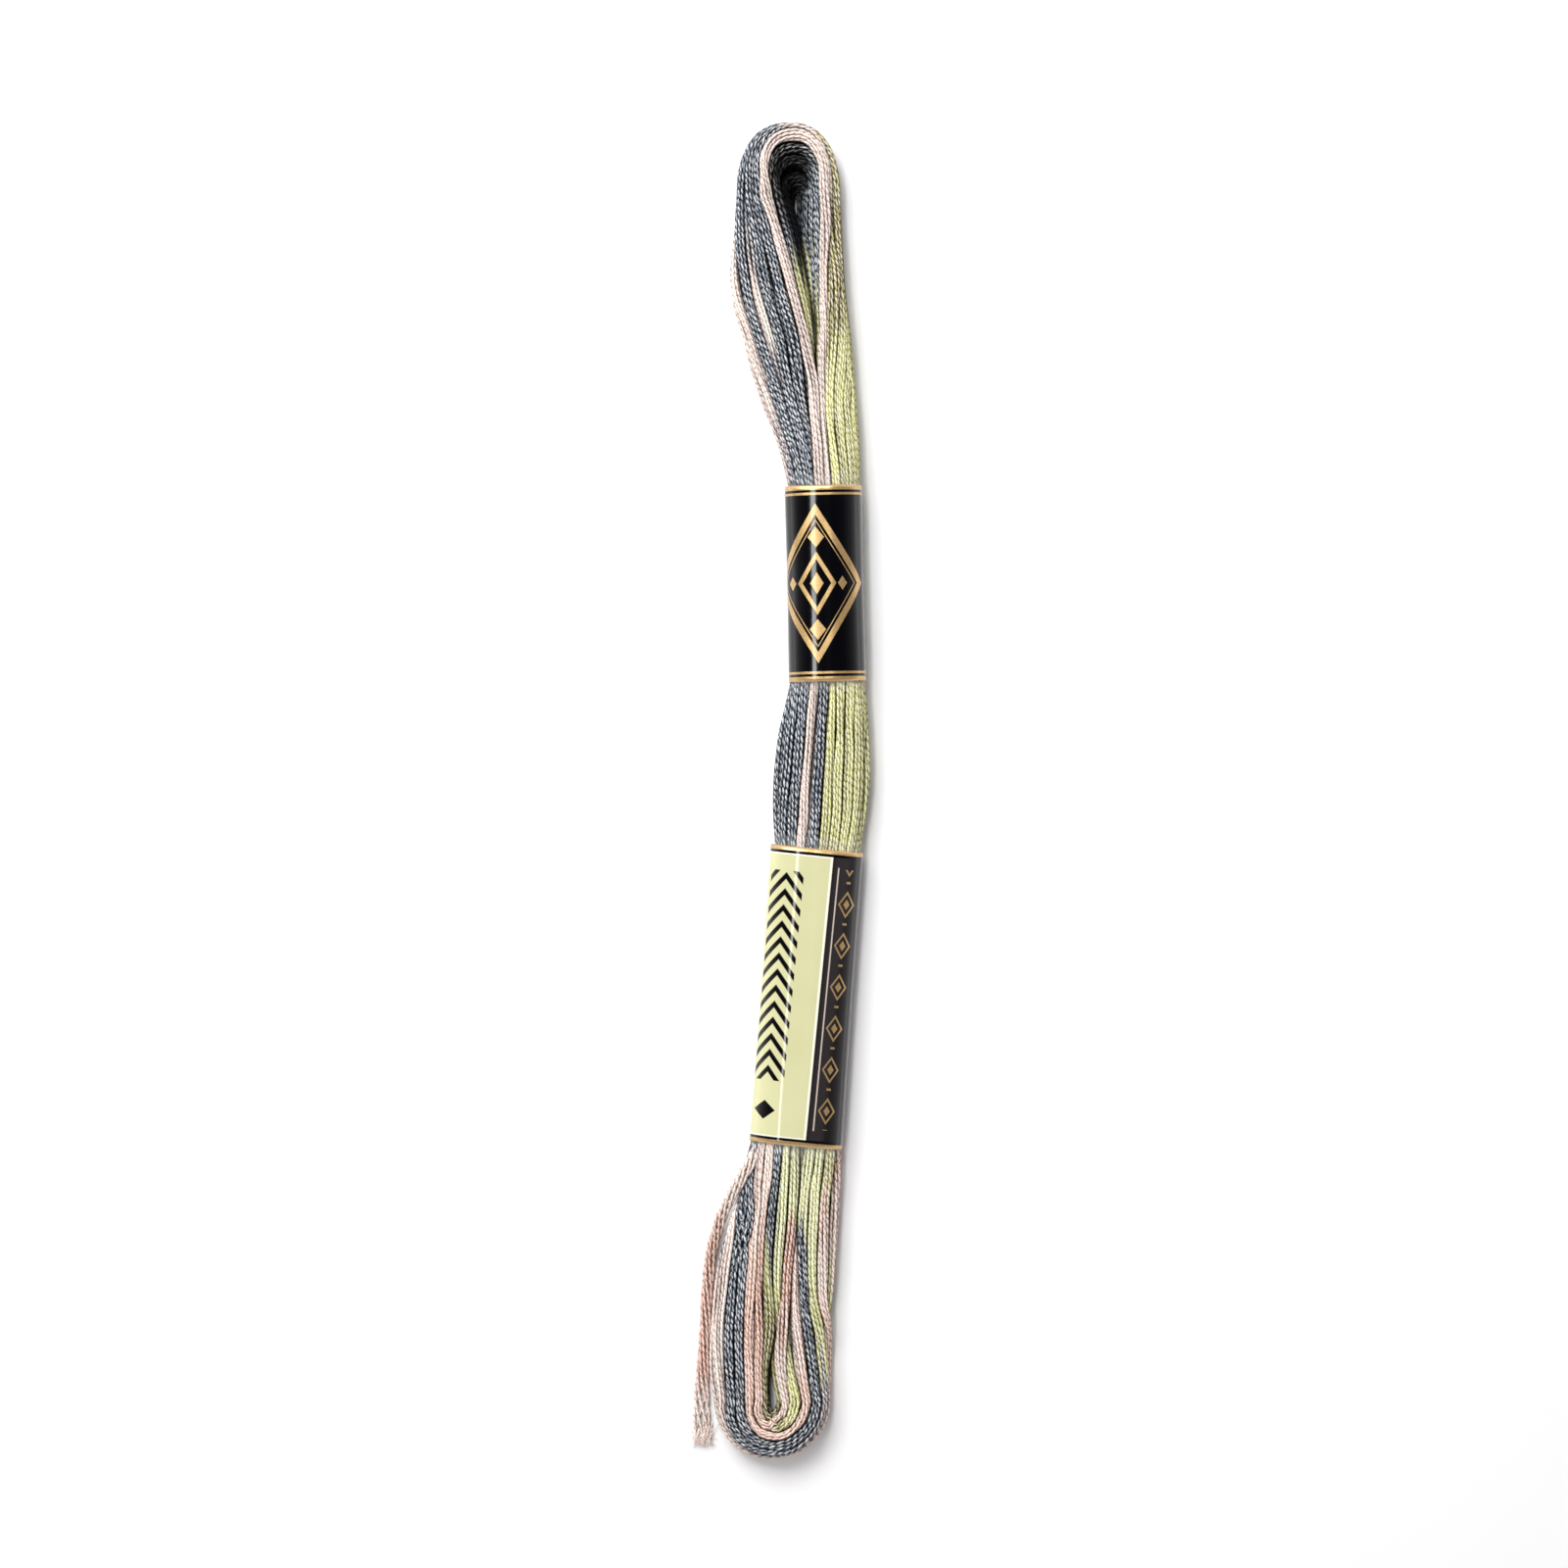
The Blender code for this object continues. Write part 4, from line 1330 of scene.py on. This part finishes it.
class SKEIN_OT_loose_end(Operator):
    """Lay the loose end: six plies from the lower sleeve's mouth to a frayed cut tip"""

    bl_idname = "skein.loose_end"
    bl_label = "Lay the Loose End"

    def execute(self, context):
        floss, loose = settings_of(context)[:2]
        rng = np.random.default_rng(SEED + 1)
        table = dye_table(floss)
        # The alpha is the painted light share, full all along the loose end.
        dye = [(*table[letter], 1.0) for letter in LOOSE_END_DYES]
        route, dye = [between_stations(np.array(values), pieces=6)
                      for values in (LOOSE_END_ROUTE, dye)]
        run = np.arange(len(route)) / len(route)
        wide, tall, radius = [size / MM for size in
                              (floss.ply_width, floss.ply_height, floss.ply_radius)]
        turn = LOOSE_TURNS * run + LOOSE_WANDER * seeded_wave(rng, run.shape, reach=20)
        tangent, level, upward = frames(route)
        tip = smooth_share(run, 0.76, 0.98)
        sunk = ROOT_DIVE * (1.0 - smooth_share(run, 0.02, 0.13))
        paths = []
        for ply in range(floss.plies):
            angle = 2.0 * pi * (turn + ply / floss.plies)
            loosen = seeded_wave(rng, (2, *run.shape), reach=8) * LOOSENESS
            across = LOOSE_RING[0] * wide * np.cos(angle) + loosen[0]
            lift = LOOSE_RING[1] * tall * np.sin(angle) + loosen[1]
            path = route + (across * (1.0 + TIP_SPREAD * tip))[:, None] * level
            path += (lift * (1.0 - TIP_SINK * tip))[:, None] * upward
            short = rng.uniform(0.0, TIP_SHORT) * smooth_share(run, 0.9, 1.0)
            path -= short[:, None] * tangent
            path[:, 2] = np.maximum(path[:, 2] - sunk, radius)
            paths.append(path)
        paths = np.array(paths)
        radii = np.full(paths.shape[:2], radius) * (1.0 - 0.5 * smooth_share(run, 0.92, 1.0))
        tint = np.repeat(np.clip(dye, 0.0, 1.0)[None], floss.plies, 0)
        phase = rng.uniform(0.0, FARTHEST_PHASE, floss.plies)
        cord = carry_round(paths, radii, tint, PLY_SIDES, floss.twist_pitch / MM, phase,
                           "loose_end_floss")
        tuft = self.fray(paths[:, -1], tangent[-1], loose, rng, (*table["P"], 1.0))
        cord = join([cord, tuft], "loose_end_floss")
        dress(cord, floss_material("mercerised_loose_floss", floss), "loose_end")
        return {"FINISHED"}

    @staticmethod
    def fray(ends, heading, loose, rng, colour):
        """Fine fibres fanned out from the plies' cut ends, each a slender curved tube.

        With s from -1 to 1 along it, a fibre runs by its length times s ahead and times
        (spread s + curl s^2) aside, and sags by 0.2 s^2.
        """
        count, rings, radius = loose.fibres, 7, loose.fibre_radius / MM
        root = ends[rng.integers(0, len(ends), count)] + rng.normal(0.0, 0.12, (count, 3))
        share = np.linspace(-1.0, 1.0, rings)[None, :, None]
        spread = rng.normal(0.0, 0.38, (count, 1, 1))
        side = np.array([heading[1], -heading[0], 0.0])
        length = rng.uniform(0.3, 1.25, (count, 1, 1))
        curl = rng.normal(0.0, 0.3, (count, 1, 1))
        path = (root[:, None] + share * length * heading
                + side * (spread * share + curl * share * share) * length)
        path[..., 2] = np.maximum(path[..., 2] - 0.2 * share[..., 0] ** 2, radius)
        radii = np.full((count, rings), radius) * (1.1 - 0.4 * share[..., 0])
        tint = np.broadcast_to(colour, (count, rings, 4))
        return carry_round(path, radii, tint, 3, FIBRE_PITCH, np.zeros(count), "loose_end_fray",
                           FIBRE_SEEN)


class SKEIN_OT_sleeves(Operator):
    """Fit the two printed film sleeves, each with a clear margin at its ends"""

    bl_idname = "skein.sleeves"
    bl_label = "Fit the Sleeves"

    def execute(self, context):
        settings = settings_of(context)[2]
        rng = np.random.default_rng(SEED + 2)
        margin = settings.margin / MM
        clear = clear_film_material()
        for name, sleeve in SLEEVES.items():
            half = sleeve["length"] / 2.0
            slot, node = sleeve["slot"], sleeve["node"]
            waves = list(zip(RIPPLES, rng.uniform(-0.06, 0.06, len(RIPPLES)),
                             rng.uniform(0.0, 2.0 * pi, len(RIPPLES))))
            printed = film_tube(f"{name}_sleeve_print", sleeve, margin - half, half - margin,
                                settings.film, waves, SLEEVE_RINGS)
            ink = sleeve["material"](settings, sleeve["length"] - 2.0 * margin)
            dress(printed, ink, node)
            cuffs = [film_tube(f"{name}_cuff", sleeve, start, end, settings.film, waves, CUFF_RINGS)
                     for start, end in [(-half, margin - half), (half - margin, half)]]
            dress(join(cuffs, f"{name}_sleeve_margins"), clear, node)
        return {"FINISHED"}


# Where the middle of the view is along Y, the height at which the view is as wide as is set, and
# half the surface's width, in metres.
VIEW_MIDDLE = 0.0009
VIEW_LEVEL = 0.003
SURFACE_HALF = 1.2


class SKEIN_OT_stage(Operator):
    """Set the pale surface, the soft lights and the camera straight above"""

    bl_idname = "skein.stage"
    bl_label = "Set the Stage"

    def execute(self, context):
        stage = settings_of(context)[3]
        scene = context.scene
        mesh = bpy.data.meshes.new("surface")
        corners = [(-1.0, -1.0, 0.0), (1.0, -1.0, 0.0), (1.0, 1.0, 0.0), (-1.0, 1.0, 0.0)]
        mesh.from_pydata((np.array(corners) * SURFACE_HALF).tolist(), [], [(0, 1, 2, 3)])
        nodes = new_material("pale_surface")
        grain = nodes.noise(nodes.object_place(), 60.0, 2.0, 0.5)
        low, high = [[channel * tone for channel in stage.floor_colour] for tone in (0.985, 1.0)]
        mesh.materials.append(nodes.finish(Base_Color=nodes.mix(grain, low, high), Roughness=0.6))
        new_object("surface", mesh)

        data = bpy.data.cameras.new("camera")
        data.lens = stage.lens
        data.sensor_width = 36.0
        data.clip_end = 10.0
        distance = stage.view_width * data.lens / data.sensor_width
        scene.camera = new_object("camera", data)
        scene.camera.location = (0.0, VIEW_MIDDLE, VIEW_LEVEL + distance)

        self.lamp("key", (-0.22, 0.42, 0.55), (0.45, 0.45), stage.key_power)
        self.lamp("strip", (-0.145, 0.0, 0.62), (0.06, 0.60), stage.strip_power)
        scene.world = self.even_light(stage.sky)
        scene.view_settings.view_transform = "Standard"
        return {"FINISHED"}

    @staticmethod
    def even_light(sky):
        """A light from all round, 6 sky (1 - h)^2 strong, where h is the sine of the height it
        comes from: bright from low down, and nothing from straight above."""
        nodes = Nodes(bpy.data.worlds.new("even_light"), "Background")
        place = nodes.add("ShaderNodeTexCoord").outputs["Generated"]
        height = nodes.add("ShaderNodeSeparateXYZ", inputs={0: place}).outputs["Z"]
        ramp = nodes.add("ShaderNodeMapRange", inputs={
            "Value": height, "From Min": 0.0, "From Max": 1.0, "To Min": (6.0 * sky) ** 0.5,
            "To Max": 0.0})
        return nodes.finish(Color=(1.0, 0.97, 0.99, 1.0),
                            Strength=nodes.value(ramp.outputs[0]) ** 2.0)

    @staticmethod
    def lamp(name, place, size, power):
        """A rectangular soft light that faces the skein."""
        data = bpy.data.lights.new(name, "AREA")
        data.shape = "RECTANGLE"
        data.size, data.size_y = size
        data.energy = power
        lamp = new_object(name, data)
        lamp.location = place
        away = Vector(place).normalized()
        side = Vector((0.0, 1.0, 0.0)).cross(away).normalized()
        lamp.rotation_euler = Matrix((side, away.cross(side), away)).transposed().to_euler()


class SKEIN_PT_panel(Panel):
    """Settings and steps of the skein"""

    bl_label = "Skein"
    bl_idname = "SKEIN_PT_panel"
    bl_space_type = "VIEW_3D"
    bl_region_type = "UI"
    bl_category = "Skein"

    def draw(self, context):
        for group in settings_of(context):
            box = self.layout.box()
            for name in group.__annotations__:
                box.prop(group, name)
        for step in STEPS:
            self.layout.operator(step.bl_idname)


SETTINGS = {"skein_floss": FlossSettings, "skein_loose_end": LooseEndSettings,
            "skein_sleeves": SleeveSettings, "skein_stage": StageSettings}
STEPS = [SKEIN_OT_stage, SKEIN_OT_loose_end, SKEIN_OT_wind, SKEIN_OT_sleeves]


def register():
    """Register the settings, the operators and the panel."""
    for group in SETTINGS.values():
        bpy.utils.register_class(group)
    for step in STEPS:
        bpy.utils.register_class(step)
    bpy.utils.register_class(SKEIN_PT_panel)
    for name, group in SETTINGS.items():
        setattr(bpy.types.Scene, name, PointerProperty(type=group))


def unregister():
    """Take everything out again, in the reverse order."""
    for name in SETTINGS:
        delattr(bpy.types.Scene, name)
    bpy.utils.unregister_class(SKEIN_PT_panel)
    for step in reversed(STEPS):
        bpy.utils.unregister_class(step)
    for group in reversed(SETTINGS.values()):
        bpy.utils.unregister_class(group)


def main():
    """Dress the skein."""
    register()
    bpy.ops.skein.stage()
    bpy.ops.skein.loose_end()
    bpy.ops.skein.wind()
    bpy.ops.skein.sleeves()


if __name__ == "__main__":
    main()
